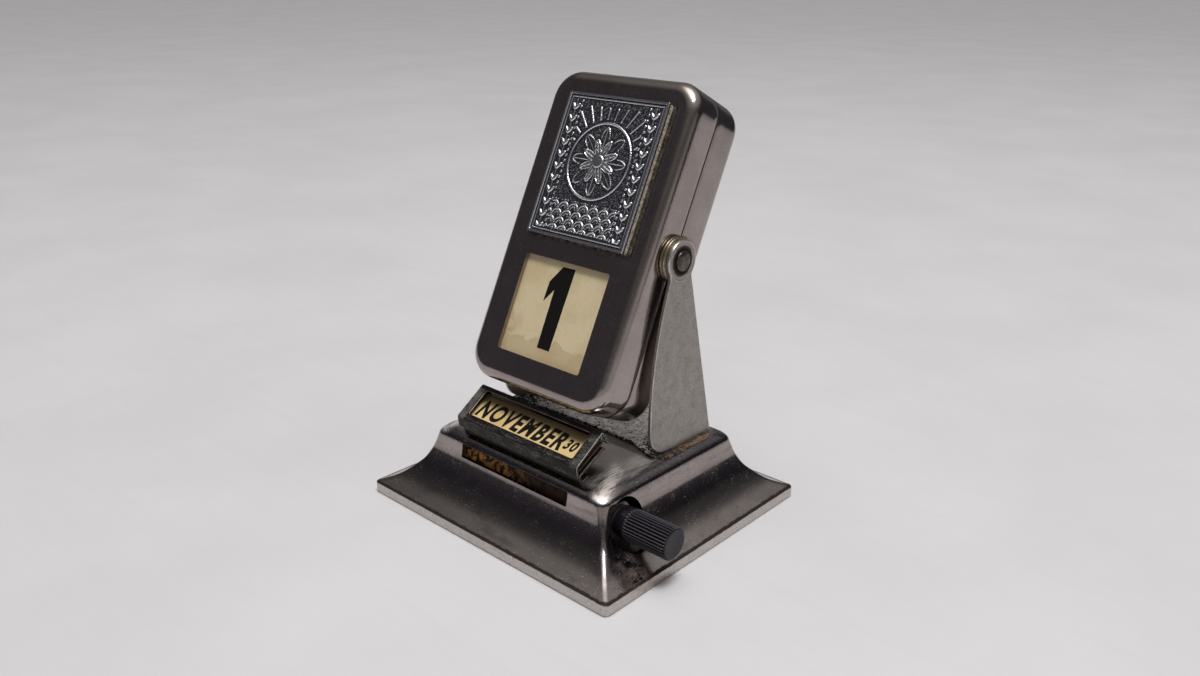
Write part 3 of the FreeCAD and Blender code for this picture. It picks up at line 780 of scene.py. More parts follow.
        # Painted shade: the shoulder darkened to damp its reflection, all but the hips
        curve = r.most(r.step(r.z, 21.1, 20.4), r.step(wide, 26.0, 28.0))
        curve = r.both(r.step(r.z, 18.1, 18.7), curve, r.rest(hip_highlight))
        curve = r.both(curve, r.slide(0.65, 1.0, r.patch(0.42, 0.60, 0.8, 5, 0.7, seed=47)))
        # The rim is lightened too, as a painted reflection of the floor
        return self.surface(r, dirt, self.spill(r), pale_dust_and_highlight=r.most(r.both(low, 0.6), worn),
                            shade_and_tarnish=r.most(shade_and_tarnish, curve))

    def spill(self, r: Recipe) -> Socket:
        """Rust below the knob's hole.

        Args:
            r: The recipe.

        Returns:
            Mask of the rust.
        """
        patch = r.both(r.step(r.x, 29, 34), r.near(r.y, -25.5, 8.0), r.step(r.z, 9.0, 5.5))
        spots = r.both(r.patch(0.56, 0.66, 0.45, 5, 0.65, seed=41), 0.8)
        haze = r.both(r.patch(0.40, 0.62, 3.0, 3, 0.6, seed=43), 0.30)
        behind = r.both(r.step(r.x, 29, 31), r.near(r.y, -10.5, 4.5), r.near(r.z, 12.0, 4.0))
        return r.most(r.both(patch, r.most(spots, haze)), r.both(behind, spots))

    def for_head(self) -> Material:
        """Plating of the two half shells.

        Returns:
            The material.
        """
        r = Recipe("head_chrome", HEAD_ORIGIN, HEAD_LEAN)
        seam = r.step(r.size(r.y), 0.34, 0.12)
        about = r.most(r.less(r.size(r.less(r.x, PLAQUE_CENTRE[0])), 17.0),
                       r.less(r.size(r.less(r.z, PLAQUE_CENTRE[1])), 19.6))
        board = r.both(r.step(r.y, -9.3, -9.9), r.step(about, 1.6, 0.1),
                       r.patch(0.36, 0.60, 1.3, 4, 0.6, seed=51), 0.8)
        worn = r.both(r.patch(0.62, 0.74, 1.0, 5, 0.7, seed=53), 0.30)
        dust = r.both(r.patch(0.57, 0.70, 0.42, 4, 0.75, seed=61), 0.30)
        dust = r.both(dust, r.patch(0.36, 0.60, 6.0, 3, 0.6, seed=63))
        return self.surface(r, r.most(r.both(seam, 0.9), board, worn), 0.0, 0.55, pale_dust_and_highlight=dust, lines=0.35)


@dataclass(frozen=True)
class Metal:
    """Worn bare or plated metal with clouds, grain, pits and rust."""

    name: str
    light: Colour  # Colour of the clean metal
    dark: Colour  # Colour of its dull clouds
    pit: Colour = (0.02, 0.015, 0.012, 1)  # Colour in pits
    rust: Colour = (0.12, 0.05, 0.018, 1)  # Colour of rust
    rough: float = 0.35  # Roughness
    metal: float = 0.9  # Metallic value
    cloud: float = 4.0  # Size of the clouds in millimetres
    clouds: tuple[float, float] = (0.30, 0.74)  # Where the clouds begin and end, of the pattern's value
    pits: float = 0.14  # Pit radius as a share of their distance
    pit_size: float = 1.4  # Distance between pits in millimetres
    rusting: tuple[float, float] = (0.66, 0.78)  # Where the rust begins and ends, of the pattern's value
    grain: Trio = (1, 1, 1)  # Stretch of a brushed grain
    grain_depth: float = 0.004  # Depth of the grain in millimetres
    ring: bool = False  # Whether a ring of dirt lies round the head's axis

    def make(self) -> Material:
        """Make the material.

        Returns:
            The material.
        """
        r = Recipe(self.name)
        cloud = r.step(r.noise(self.cloud, 6, 0.62, seed=1), *self.clouds)
        mottle = r.patch(0.38, 0.64, self.cloud / 5, 4, 0.6, seed=9)
        pit = r.step(r.cells(self.pit_size, seed=2), self.pits, self.pits * 0.4)
        pit = r.both(pit, r.patch(0.42, 0.58, self.pit_size * 4, 3, 0.6, seed=3))
        rust = r.step(r.noise(self.cloud * 0.8, 6, 0.68, seed=4), *self.rusting)
        grain = r.noise(0.22, 3, 0.6, self.grain, seed=6)
        colour = r.coat(r.mix(self.light, self.dark, r.add(r.both(cloud, 0.7), r.both(mottle, 0.3))),
                        (self.dark, r.both(r.step(grain, 0.45, 0.70), 0.4)))
        if self.ring:
            away = r.add(r.away(*HEAD_ORIGIN[1:]), r.drift(0.9, 0.8, 4, 0.6, seed=14))
            rust = r.most(rust, r.step(away, 4.25, 3.7))
        colour = r.coat(colour, (self.rust, rust), (self.pit, pit))
        rough = r.add(r.slide(self.rough, self.rough + 0.15, cloud), r.both(r.most(pit, rust), 0.3))
        metal = r.both(self.metal, r.rest(r.both(r.most(rust, pit), 0.8)))
        relief = r.bump(grain, self.grain_depth)
        relief = r.bump(r.less(r.both(rust, 0.4), pit), 0.05, relief)
        return r.done(colour, metal, rough, relief)


@dataclass(frozen=True)
class TopPlateFinish:
    """Rough grey plate with black pits, a rusty front edge and painted shade along the side plates' feet."""

    light: Colour = (0.92, 0.87, 0.85, 1)
    dark: Colour = (0.60, 0.55, 0.52, 1)
    edge: Colour = (0.14, 0.085, 0.04, 1)

    def make(self) -> Material:
        """Make the material.

        Returns:
            The material.
        """
        r = Recipe("pitted_plate")
        cloud = r.patch(0.40, 0.66, 1.6, 5, 0.6, seed=1)
        wide = r.size(r.x)
        foot = r.both(r.near(wide, 26.0, 11.0), r.step(r.y, 15.0, 3.0))
        front = r.step(r.y, 4.0, -2.0)
        crowd = r.add(r.both(r.most(foot, r.both(front, 0.55)), 0.19), r.both(r.noise(4.0, 3, 0.6, seed=4), 0.3))
        pits = r.step(r.add(r.both(r.noise(0.9, 2, 0.5, seed=3, twist=0.9), 0.9), crowd), 0.710, 0.722)
        thick = r.add(r.both(r.most(foot, r.both(front, 0.8)), 0.26), r.noise(2.5, 3, 0.6, seed=5))
        holes = r.step(r.cells(1.15, seed=6), 0.34, 0.27)
        pits = r.most(pits, r.both(holes, r.step(thick, 0.56, 0.60)))
        rim = r.step(r.y, -1.2, -1.9)
        side = r.both(r.most(rim, r.step(wide, 27.5, 27.9)), r.patch(0.36, 0.52, 1.3, 5, 0.7, seed=9))
        # Pits and painted shade along the foot of each side plate
        foot_shade = r.both(r.near(wide, 28.2, 0.7), r.patch(0.34, 0.50, 1.5, 4, 0.6, seed=10))
        pits = r.most(pits, r.both(foot_shade, 0.9))
        colour = r.coat(r.mix(self.light, self.dark, cloud), ((0.15, 0.115, 0.085, 1), r.step(wide, 27.5, 27.9)),
                        (self.edge, r.both(side, 0.85)), ((0.006, 0.005, 0.004, 1), pits))
        rough = r.add(r.slide(0.34, 0.50, cloud), r.both(pits, 0.2))
        metal = r.both(0.35, r.rest(r.most(pits, side)))
        relief = r.bump(r.noise(0.35, 4, 0.6, seed=12), 0.03)
        relief = r.bump(pits, -0.18, relief)
        return r.done(colour, metal, rough, relief)


@dataclass(frozen=True)
class HoodFinish:
    """Tarnished sheet of the month hood: worn pale on its face, black behind the window."""

    name: str = "tarnished_nickel"
    worn: Colour = (0.27, 0.25, 0.225, 1)  # Colour where the tarnish is rubbed off
    dark: Colour = (0.014, 0.012, 0.012, 1)  # Colour of the tarnish
    apex: Flat = HOOD_APEX  # Y and Z of the upper fold
    tilt: float = HOOD_TILT  # Slope of the face, in degrees
    rubbed: float = 0.0  # How much of it is rubbed

    def make(self) -> Material:
        """Make the material.

        Returns:
            The material.
        """
        r = Recipe(self.name, (0, *self.apex), -self.tilt)
        face = r.step(r.z, -0.75, -0.05)
        ends = r.step(r.size(r.x), 19.6, 20.6)
        left = r.step(r.x, -19.6, -20.6)
        lip = r.near(r.y, -11.3, 1.1)
        rear = r.step(r.y, -1.9, -1.3)
        wear = r.most(r.both(ends, 0.07), r.both(left, 0.15), r.both(lip, 0.05))
        wear = r.both(wear, face, r.rest(rear))
        wear = r.add(wear, self.rubbed)
        grain = r.noise(0.34, 4, 0.75, (0.5, 1, 1), seed=2)
        patch = r.noise(1.8, 5, 0.65, (0.4, 1, 1), seed=3)
        value = r.add(r.add(r.both(grain, 0.55), r.both(patch, 0.45)), wear)
        share = r.step(value, 0.50, 0.74)
        colour = r.mix(self.dark, self.worn, share)
        brown = r.both(r.patch(0.60, 0.72, 1.1, 4, 0.6, seed=5), 0.55)
        colour = r.mix(colour, (0.045, 0.026, 0.015, 1), r.both(brown, r.rest(share)))
        relief = r.bump(r.add(grain, r.both(patch, 0.6)), 0.030)
        rough = r.slide(0.34, 0.42, share)
        return r.done(colour, r.slide(0.55, 0.8, share), rough, relief, Specular_IOR_Level=0.3)


@dataclass(frozen=True)
class ReliefFinish:
    """Antiqued pressed relief: bright tops on a dark ground."""

    bright: Colour = (0.78, 0.79, 0.82, 1)
    ground: Colour = (0.030, 0.030, 0.040, 1)

    def make(self) -> Material:
        """Make the material.

        Returns:
            The material.
        """
        r = Recipe("plaque_relief", HEAD_ORIGIN, HEAD_LEAN)
        grain = r.noise(0.35, 4, 0.7, seed=2)
        ridge = r.add(r.mark("ridge"), r.both(r.less(grain, 0.5), 0.75))
        top = r.step(ridge, 0.28, 0.56)
        colour = r.mix(self.ground, self.bright, top)
        rough = r.slide(0.42, 0.20, top)
        relief = r.bump(grain, 0.035)
        return r.done(colour, r.slide(0.55, 1.0, top), rough, relief)


@dataclass(frozen=True)
class BoardFinish:
    """Pale backing board with pits, darker along its edge next to the case."""

    light: Colour = paint(203, 195, 177)
    dark: Colour = paint(146, 135, 115)

    def make(self) -> Material:
        """Make the material.

        Returns:
            The material.
        """
        r = Recipe("plaque_board", HEAD_ORIGIN, HEAD_LEAN)
        pits = r.step(r.cells(0.75, seed=1), 0.36, 0.18)
        cloud = r.patch(0.40, 0.62, 1.4, 5, 0.7, seed=3)
        colour = r.coat(r.mix(self.light, self.dark, r.both(cloud, 0.8)), (paint(58, 46, 30), r.both(pits, 0.85)))
        # Darker along the board's edge next to the case
        foot = r.step(r.y, -10.5, -10.15)
        colour = r.mix(colour, paint(36, 29, 22), r.both(foot, 0.75))
        relief = r.bump(pits, -0.12, r.bump(r.noise(0.25, 3, 0.6, seed=5), 0.04))
        return r.done(colour, 0.0, 0.72, relief)


@dataclass(frozen=True)
class CardFinish:
    """Aged cream card stock with stains."""

    name: str
    cream: Colour  # Clean colour
    stain: Colour  # Colour of the stains
    brown: Colour  # Colour of flecks and stains, and of the painted shade on the month cards
    rough: float = 0.5  # Roughness
    leaning: bool = False  # Whether its coordinates lean with the head

    def make(self, dirt: Callable[[Recipe], Socket]) -> Material:
        """Make the material.

        Args:
            dirt: Gives the mask of dirt that belongs to the piece, with the painted shade of the month cards.

        Returns:
            The material.
        """
        r = Recipe(self.name, HEAD_ORIGIN, HEAD_LEAN) if self.leaning else Recipe(self.name)
        broad = r.patch(0.40, 0.68, 11.0, 4, 0.6, seed=2)
        fine = r.patch(0.50, 0.72, 0.9, 5, 0.7, seed=4)
        fleck = r.both(r.step(r.cells(2.4, seed=6), 0.10, 0.05), r.patch(0.45, 0.6, 8.0, 2, 0.5, seed=8))
        colour = r.coat(r.mix(self.cream, self.stain, r.both(broad, 0.55)), (self.stain, r.both(fine, 0.35)),
                        (self.brown, r.both(fleck, 0.7)))
        colour = r.mix(colour, self.brown, dirt(r))
        relief = r.bump(r.noise(0.30, 3, 0.6, seed=9), 0.006)
        return r.done(colour, 0.0, r.slide(self.rough, self.rough + 0.15, broad), relief)


@dataclass(frozen=True)
class PlasticFinish:
    """Moulded plastic with a slight haze and dust in the low places."""

    name: str
    body: Colour  # Its colour
    dust: Colour  # Colour of dust and haze
    rough: float = 0.32  # Roughness
    grain: float = 0.012  # Height of its grain in millimetres
    haze: float = 0.22  # Strength of the haze
    gloss: float = 0.5  # Specular level
    ridge: tuple[float, ...] = ()  # Y, Z, radius and first two places along X of ridges lightened as a painted highlight, if it has any

    def make(self) -> Material:
        """Make the material.

        Returns:
            The material.
        """
        r = Recipe(self.name)
        haze = r.patch(0.45, 0.75, 1.8, 5, 0.65, seed=1)
        fleck = r.both(r.step(r.cells(0.9, seed=3), 0.16, 0.07), r.patch(0.5, 0.62, 4.0, 3, 0.5, seed=4))
        colour = r.mix(self.body, self.dust, r.add(r.both(haze, self.haze), r.both(fleck, self.haze)))
        relief = r.bump(r.noise(0.4, 3, 0.6, seed=5), self.grain)
        if self.ridge:
            y, z, radius, start, end = self.ridge
            # Painted highlight: the flutes' crests lightened so that they read as lit
            worn = r.both(r.step(r.away(y, z), radius - 0.22, radius - 0.02), r.step(r.x, start, end))
            colour = r.mix(colour, (0.062, 0.058, 0.068, 1), worn)
        rough = r.slide(self.rough, self.rough + self.haze, haze)
        return r.done(colour, 0.0, rough, relief, Specular_IOR_Level=self.gloss)


@dataclass(frozen=True)
class InkFinish:
    """Printed black ink, slightly uneven."""

    name: str = "black_ink"
    ink: Colour = (0.007, 0.0065, 0.006, 1)
    worn: Colour = (0.03, 0.024, 0.018, 1)

    def make(self) -> Material:
        """Make the material.

        Returns:
            The material.
        """
        r = Recipe(self.name)
        worn = r.patch(0.60, 0.78, 0.8, 5, 0.7, seed=3)
        colour = r.mix(self.ink, self.worn, worn)
        relief = r.bump(r.noise(0.2, 2, 0.5), 0.004)
        return r.done(colour, 0.0, r.slide(0.60, 0.75, worn), relief, Specular_IOR_Level=0.12)


@dataclass(frozen=True)
class RollerFinish:
    """Weekday roller: dark brown skin with golden rust at its left and lower part."""

    def make(self) -> Material:
        """Make the material.

        Returns:
            The material.
        """
        r = Recipe("roller_steel")
        left = r.step(r.add(r.x, r.drift(24, 6, 4, 0.6, seed=2)), 9, -20)
        low = r.step(r.add(r.z, r.drift(3.0, 2.0, 4, 0.6, seed=3)), 17.3, 15.8)
        rust = r.patch(0.40, 0.60, 1.1, 6, 0.70, seed=4)
        gold = r.both(r.patch(0.42, 0.55, 1.5, 4, 0.65, seed=6), low, r.slide(0.04, 1.0, left))
        brown = r.both(rust, r.slide(0.12, 1.0, low))
        colour = r.coat(r.mix((0.016, 0.010, 0.007, 1), (0.055, 0.022, 0.008, 1), brown),
                        ((0.95, 0.47, 0.12, 1), gold))
        relief = r.bump(r.add(rust, r.noise(0.3, 3, 0.6, seed=7)), 0.08)
        return r.done(colour, 0.15, r.slide(0.45, 0.75, rust), relief)


@dataclass(frozen=True)
class FeltFinish:
    """Felted pad under the base."""

    def make(self) -> Material:
        """Make the material.

        Returns:
            The material.
        """
        r = Recipe("baize")
        fibre = r.noise(0.25, 5, 0.75, (1, 0.35, 1), seed=1)
        other = r.noise(0.25, 5, 0.75, (0.35, 1, 1), seed=2)
        worn = r.patch(0.42, 0.66, 14, 4, 0.6, seed=3)
        colour = r.coat(r.mix(paint(40, 66, 48), paint(72, 92, 66), r.calc("MAXIMUM", fibre, other)),
                        (paint(88, 86, 62), r.both(worn, 0.5)))
        relief = r.bump(r.add(fibre, other), 0.25)
        return r.done(colour, 0.0, 0.95, relief, Sheen_Weight=0.4)


# Pieces


def place_piece(piece: Piece, body: Body | str, nodes: Sequence[str] = (),
                finish: Material | None = None) -> Piece:
    """Hand a piece to its body.

    Args:
        piece: The object.
        body: The body it moves with.
        nodes: Nodes that it replaces.
        finish: Its material.

    Returns:
        The same object.
    """
    if finish is not None:
        piece.data.materials.append(finish)
    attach(piece, body.value if isinstance(body, Body) else body)
    if nodes:
        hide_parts(*nodes)
    LOG.info("%s: %d corners, on %s", piece.name, len(piece.data.vertices), body)
    return piece


def dress(node: str, finish: Material) -> None:
    """Give a node of the frame its finish.

    Args:
        node: Name of the node.
        finish: The material.
    """
    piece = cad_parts[node]
    piece.data.materials.clear()
    piece.data.materials.append(finish)
    LOG.info("%s: dressed", node)


@dataclass
class Base:
    """Flared shell, its top plate, side plates and bottom."""

    length: float = 90.005  # Size along X
    width: float = 79.986  # Size along Y
    height: float = BASE_TOP  # Table to the flat top
    wall: float = 1.0  # Thickness of the shell
    rim: float = 3.0  # Height of the rim
    rim_corner: float = 1.5  # Corner radius of the rim
    reach: float = 13.0  # Rim to the foot of the shoulder, inwards
    shoulder: Flat = (6.4, 2.9)  # Run and rise of the rounded shoulder
    slope: float = 79.0  # Slope of the wall under the shoulder, in degrees
    corner: float = 10.0  # Corner radius that the flare's shares refer to
    crown: float = 5.5  # Corner radius of the flat top
    # The flare: inset, height and corner, as shares
    shares: tuple[Trio, ...] = (
        (0.027, 0.000, 0.110), (0.352, 0.1243, 0.110), (0.606, 0.3059, 0.125), (0.773, 0.4615, 0.135),
        (0.881, 0.6359, 0.155), (0.9215, 0.7236, 0.180), (0.962, 0.8604, 0.230), (0.988, 1.000, 0.320))
    slot: Trio = (20.2, 14.8, 18.7)  # Half length, low and high edge of the weekday slot
    slot_corner: float = 0.35  # Radius of the slot's corners
    hole: Trio = (*ROLLER_AXIS, ROLLER_RADIUS)  # Y, Z and radius of the knob's hole
    hole_from: float = 30.5  # X from which the hole is cut
    tab: Flat = (4.8905, 19.0905)  # Front and back of the slots for the side plates' tabs
    tab_play: float = 0.1  # Play beside a tab
    tab_top: float = 22.5  # Top of the tab's cutters, above the top plate
    pivot: Flat = HEAD_PIVOT  # Y and Z of the head's axis
    arm: Flat = (ARM_OUTER, 1.0)  # Outer X and thickness of the side plates
    eye: float = 5.4  # Radius of the side plates' eyes
    toe: Flat = (11.0, 7.0)  # Pivot to the front of the foot, and the radius of its front corner
    tab_ends: Flat = (-1.9, 12.1)  # Pivot to the front and back of the tab
    # Rise and radius of the turned lip round the eyes
    lip: tuple[Flat, ...] = ((-0.1, 5.32), (0.08, 5.28), (0.14, 5.16), (0.10, 5.02), (-0.1, 4.92))
    # Rise and radius of the dirt round the pins
    groove: tuple[Flat, ...] = ((-0.1, 3.42), (0.03, 3.4), (0.03, 2.5), (-0.1, 2.48))
    plate_half: float = 31.3  # Half length of the top plate
    plate_front: float = -2.3095  # Y of the top plate's front edge
    plate_back: float = 22.5905  # Y of the top plate's back edge
    plate_sheet: float = 0.6  # Thickness of the top plate
    # The top plate's front edge: share of its half length and of the bay's depth
    bay: tuple[Flat, ...] = ((0.83, 0.0), (0.72, 0.36), (0.58, 0.86), (0.30, 0.97), (0.0, 1.0))

    def rows(self, parts: int = 6) -> list[Trio]:
        """Levels of the outer skin above the rim.

        Args:
            parts: Levels from one row of the flare table to the next.

        Returns:
            Inset, height and corner radius of each level.
        """
        table = np.array(self.shares)
        steps = np.diff(table, axis=0)
        tilt = np.zeros_like(table)
        tilt[0], tilt[-1] = steps[0], steps[-1]
        low, high = steps[:-1], steps[1:]
        tilt[1:-1] = np.where(low * high > 0, 2 * low * high / (low + high), 0)
        run, rise = self.shoulder
        steep = atan(tan(radians(self.slope)) * run / rise)
        foot = self.height - rise * (1 - cos(steep))
        levels = []
        for i in range(len(table) - 1):
            for k in range(parts + (i == len(table) - 2)):
                t = k / parts
                row = (table[i] * (1 + 2 * t) * (1 - t) ** 2 + table[i + 1] * t * t * (3 - 2 * t)
                       + tilt[i] * t * (1 - t) ** 2 - tilt[i + 1] * t * t * (1 - t))
                levels.append((row[0] * self.reach, self.rim + row[1] * (foot - self.rim), row[2] * self.corner))
        start = levels[-1]
        for k in range(1, 17):
            angle = steep * (1 - k / 16)
            inset = start[0] + run * (sin(steep) - sin(angle))
            levels.append((inset, self.height - rise * (1 - cos(angle)),
                           start[2] + (self.crown - start[2]) * k / 16))
        return levels

    def sink(self, x: float) -> float:
        """How far the shoulder lies below the flat top at a place along X.

        Args:
            x: The place.

        Returns:
            The depth.
        """
        run, rise = self.shoulder
        over = abs(x) - (self.length / 2 - self.reach - run)
        return rise * (1 - sqrt(max(0.0, 1 - (over / run) ** 2))) if over > 0 else 0.0

    def loop(self, inset: float, corner: float, z: float) -> list[Point]:
        """One level of a skin.

        Args:
            inset: Distance from the rim's face.
            corner: Corner radius.
            z: Height.

        Returns:
            Its points.
        """
        flat = rounded_loop(self.length / 2 - inset, self.width / 2 - inset, corner, 12, 56, 50)
        return [(a, b, z) for a, b in flat]

    def outside(self) -> list[list[Point]]:
        """Loops of the outer skin, from the table up to the flat top.

        Returns:
            The loops.
        """
        lip = ((0.10, 0.00), (0.03, 0.06), (0.0, 0.16), (0.0, 1.4), (0.0, 2.66), (0.03, 2.84),
               (0.10, 2.95), (0.22, 3.00))
        loops = [self.loop(inset, self.rim_corner - inset, z) for inset, z in lip]
        levels = self.rows()
        loops += [self.loop(inset, corner, z) for inset, z, corner in levels]
        last = levels[-1]
        loops += [self.loop(last[0] + more, last[2] - more, self.height) for more in (0.15, 0.5, 1.5)]
        return loops

    def inside(self) -> list[list[Point]]:
        """Loops of the inner skin, from the flat top down to the table.

        Returns:
            The loops.
        """
        raw = self.rows(3)
        loops = []
        for i, (inset, z, corner) in enumerate(raw):
            low, high = raw[max(i - 1, 0)], raw[min(i + 1, len(raw) - 1)]
            run, climb = high[0] - low[0], high[1] - low[1]
            if i == len(raw) - 1:
                climb = 0.0
            size = hypot(run, climb)
            push = self.wall * climb / size
            if inset + push >= self.wall:
                loops.append(self.loop(inset + push, max(corner - push, 0.75), z - self.wall * run / size))
        foot = loops[0][0][2]
        loops = [self.loop(self.wall, 0.75, 0), self.loop(self.wall, 0.75, foot * 0.5)] + loops
        return loops[::-1]

    def shell(self, finish: Material) -> None:
        """Build the flared shell.

        Args:
            finish: Its plating.
        """
        solid = Solid()
        outer = [solid.ring(ring) for ring in self.outside()]
        inner = [solid.ring(ring) for ring in self.inside()]
        solid.strip(outer)
        solid.strip(inner)
        solid.skin(inner[-1], outer[0])
        solid.cap(outer[-1])
        solid.cap(inner[0][::-1])
        piece = solid.build("flared_shell")
        half, low, high = self.slot
        y, z, radius = self.hole
        slot = rounded_loop(half, (high - low) / 2, self.slot_corner, 4)
        slot = [(a, b + (low + high) / 2) for a, b in slot]
        tools = [plate("slot_cut", slot, -self.width / 2 - 1, y, standing),
                 plate("hole_cut", circle(y, z, radius, 72), self.hole_from, self.length / 2 + 1, sideways)]
        cut(piece, *tools, *self.tab_cuts(19.5))
        place_piece(shade(piece, 38), Body.BASE, ["base_shell"], finish)

    def tab_cuts(self, low: float) -> list[Piece]:
        """Cutters for the tabs of the two side plates.

        Args:
            low: Height they start from.

        Returns:
            The cutters.
        """
        near, far = self.arm[0] - self.arm[1] - self.tab_play, self.arm[0] + self.tab_play
        front, back = self.tab
        return [block("tab_cut", (x0, front, low), (x1, back, self.tab_top))
                for x0, x1 in ((-far, -near), (near, far))]

    def top_outline(self) -> list[Flat]:
        """Ragged outline of the top plate.

        Returns:
            Its points.
        """
        middle = (self.plate_front + self.plate_back) / 2
        half = (self.plate_back - self.plate_front) / 2
        loop = rounded_loop(self.plate_half - 1.5, half, 4.5, 10, 120, 40)
        places = [share * self.plate_half for share, _ in self.bay[::-1]]
        depths = [depth * 3.5 for _, depth in self.bay[::-1]]
        chance = np.random.default_rng(5)
        wander = np.convolve(chance.normal(0, 1, len(loop) + 8), np.ones(3) / 3, "same")[:len(loop)]
        points = []
        for i, (a, b) in enumerate(loop):
            y = b + middle
            if b < 0 and abs(a) < places[-1]:
                y += float(np.interp(abs(a), places, depths)) * (1 if b < -half + 0.01 else 0)
            push = 0.07 * abs(float(wander[i]))
            points.append((a * (1 - push / self.plate_half), y + (push if b < 0 else -push)))
        return points

    def top_plate(self, finish: Material) -> None:
        """Build the pitted plate on the flat top.

        Args:
            finish: Its material.
        """
        piece = plate("pitted_top_plate", self.top_outline(), self.height, self.height + self.plate_sheet, lying)
        cut(piece, *self.tab_cuts(20.5))
        shape = bmesh.new()
        shape.from_mesh(piece.data)
        for x in (27.3, 28.2, 29.0, 29.7, 30.3, 30.8):
            for side in (-1, 1):
                whole = list(shape.verts) + list(shape.edges) + list(shape.faces)
                bmesh.ops.bisect_plane(shape, geom=whole, plane_co=(side * x * MM, 0, 0), plane_no=(1, 0, 0))
        for corner in shape.verts:
            corner.co.z -= self.sink(corner.co.x / MM) * MM
        shape.to_mesh(piece.data)
        shape.free()
        place_piece(soften(piece, 0.12), Body.BASE, ["top_plate"], finish)

    def arm_outline(self) -> list[Flat]:
        """Outline of a side plate as (y, z) points.

        Returns:
            Its points.
        """
        y, z = self.pivot
        bottom = self.height + self.plate_sheet
        loop = on_arc(self.pivot, self.eye, radians(-32), radians(212), 56)
        reach, heel = self.toe
        bow = heel * (1 - sqrt(0.5))
        front = [(y - 4.3, z - 4.3), (y - 10.3, z - 29.5), (y - reach, bottom + heel)]
        loop += [(y - 4.45, z - 3.45)]
        loop += arc_through(*front, 30)
        loop += arc_through(front[-1], (y - reach + bow, bottom + bow), (y - reach + heel, bottom), 12)[1:]
        tab_front, tab_back, under = y + self.tab_ends[0], y + self.tab_ends[1], self.height - self.wall
        loop += [(tab_front, bottom), (tab_front, under), (tab_back, under), (tab_back, bottom)]
        loop += [(y + 14.9, bottom), (y + 3.95, z - 4.3), (y + 4.35, z - 3.5)]
        return loop

    def side_plates(self, finish: Material, edge: Material,
                    soot: Material) -> None:
        """Build both side plates with the folded feet of their tabs.

        Args:
            finish: Their material.
            edge: Material of their worn edges.
            soot: Material of the dirt round the pins.
        """
        y, z = self.pivot
        outer, sheet = self.arm
        for side, name in ((-1, "left"), (1, "right")):
            low, high = sorted((side * (outer - sheet), side * outer))
            piece = plate(f"side_plate_{name}_fine", self.arm_outline(), low, high, sideways)
            cut(piece, plate("bore", circle(y, z, 2.05, 48), low - 1, high + 1, sideways))
            soften(piece, 0.22, 3, finishes=(finish, edge))
            place_piece(piece, Body.BASE, [f"side_plate_{name}"])
            for part, rows, look in (("lip", self.lip, edge), ("dirt", self.groove, soot)):
                rows = [(side * (outer + rise), radius) for rise, radius in rows]
                ring = turned(f"eye_{part}_{name}", rows, y, z, 72)
                place_piece(shade(ring, 60), Body.BASE, (), look)
            x = sorted((side * (outer - sheet - 5.5), side * outer))
            under = self.height - self.wall
            foot = block(f"side_plate_{name}_foot", (x[0], y + self.tab_ends[0], under - sheet),
                         (x[1], y + self.tab_ends[1], under))
            place_piece(soften(foot, 0.15), Body.BASE, (), finish)

    def bottom(self, steel: Material, felt: Material) -> None:
        """Dress the closure and build the pad under it.

        Args:
            steel: Finish of the bottom plate.
            felt: Finish of the pad.
        """
        dress("bottom_plate", steel)
        low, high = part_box("base_pad")
        half = [v / MM for v in (high - low) / 2]
        solid = Solid()
        chance = np.random.default_rng(8)
        rings = []
        for inset, z in ((0.30, 0.0), (0.06, 0.22), (0.0, 0.5), (0.12, 0.82), (0.3, 0.9)):
            loop = rounded_loop(half[0] - inset, half[1] - inset, 1.0, 4, 70, 60)
            shift = chance.uniform(-0.05, 0.0, len(loop))
            rings.append([(a * (1 + s / 40), b * (1 + s / 40), z) for (a, b), s in zip(loop, shift)])
        solid.tube(rings)
        piece = solid.build("felt_pad")
        holes = ((14, 7.99, 3.4), (-14, 7.99, 3.4), (15, -19.69, 2.2), (-15, -19.69, 2.2))
        cut(piece, *(plate("pad_cut", circle(*hole, 40), -1, 2, lying) for hole in holes))
        place_piece(shade(piece, 50), Body.BASE, ["base_pad"], felt)


def arc_through(start: Flat, middle: Flat, end: Flat, steps: int) -> list[Flat]:
    """Arc through three points.

    Args:
        start: First point.
        middle: A point between.
        end: Last point.
        steps: Steps in the arc.

    Returns:
        Its points.
    """
    spots = [complex(*point) for point in (start, middle, end)]
    one, two = spots[1] - spots[0], spots[2] - spots[0]
    ratio = two / one
    centre = spots[0] + one * (ratio - abs(ratio) ** 2) / (ratio - ratio.conjugate())
    turn = [phase(spot - centre) for spot in spots]
    for k in (1, 2):
        turn[k] = turn[k - 1] + (turn[k] - turn[k - 1] + pi) % (2 * pi) - pi
    return on_arc((centre.real, centre.imag), abs(spots[0] - centre), turn[0], turn[2], steps)


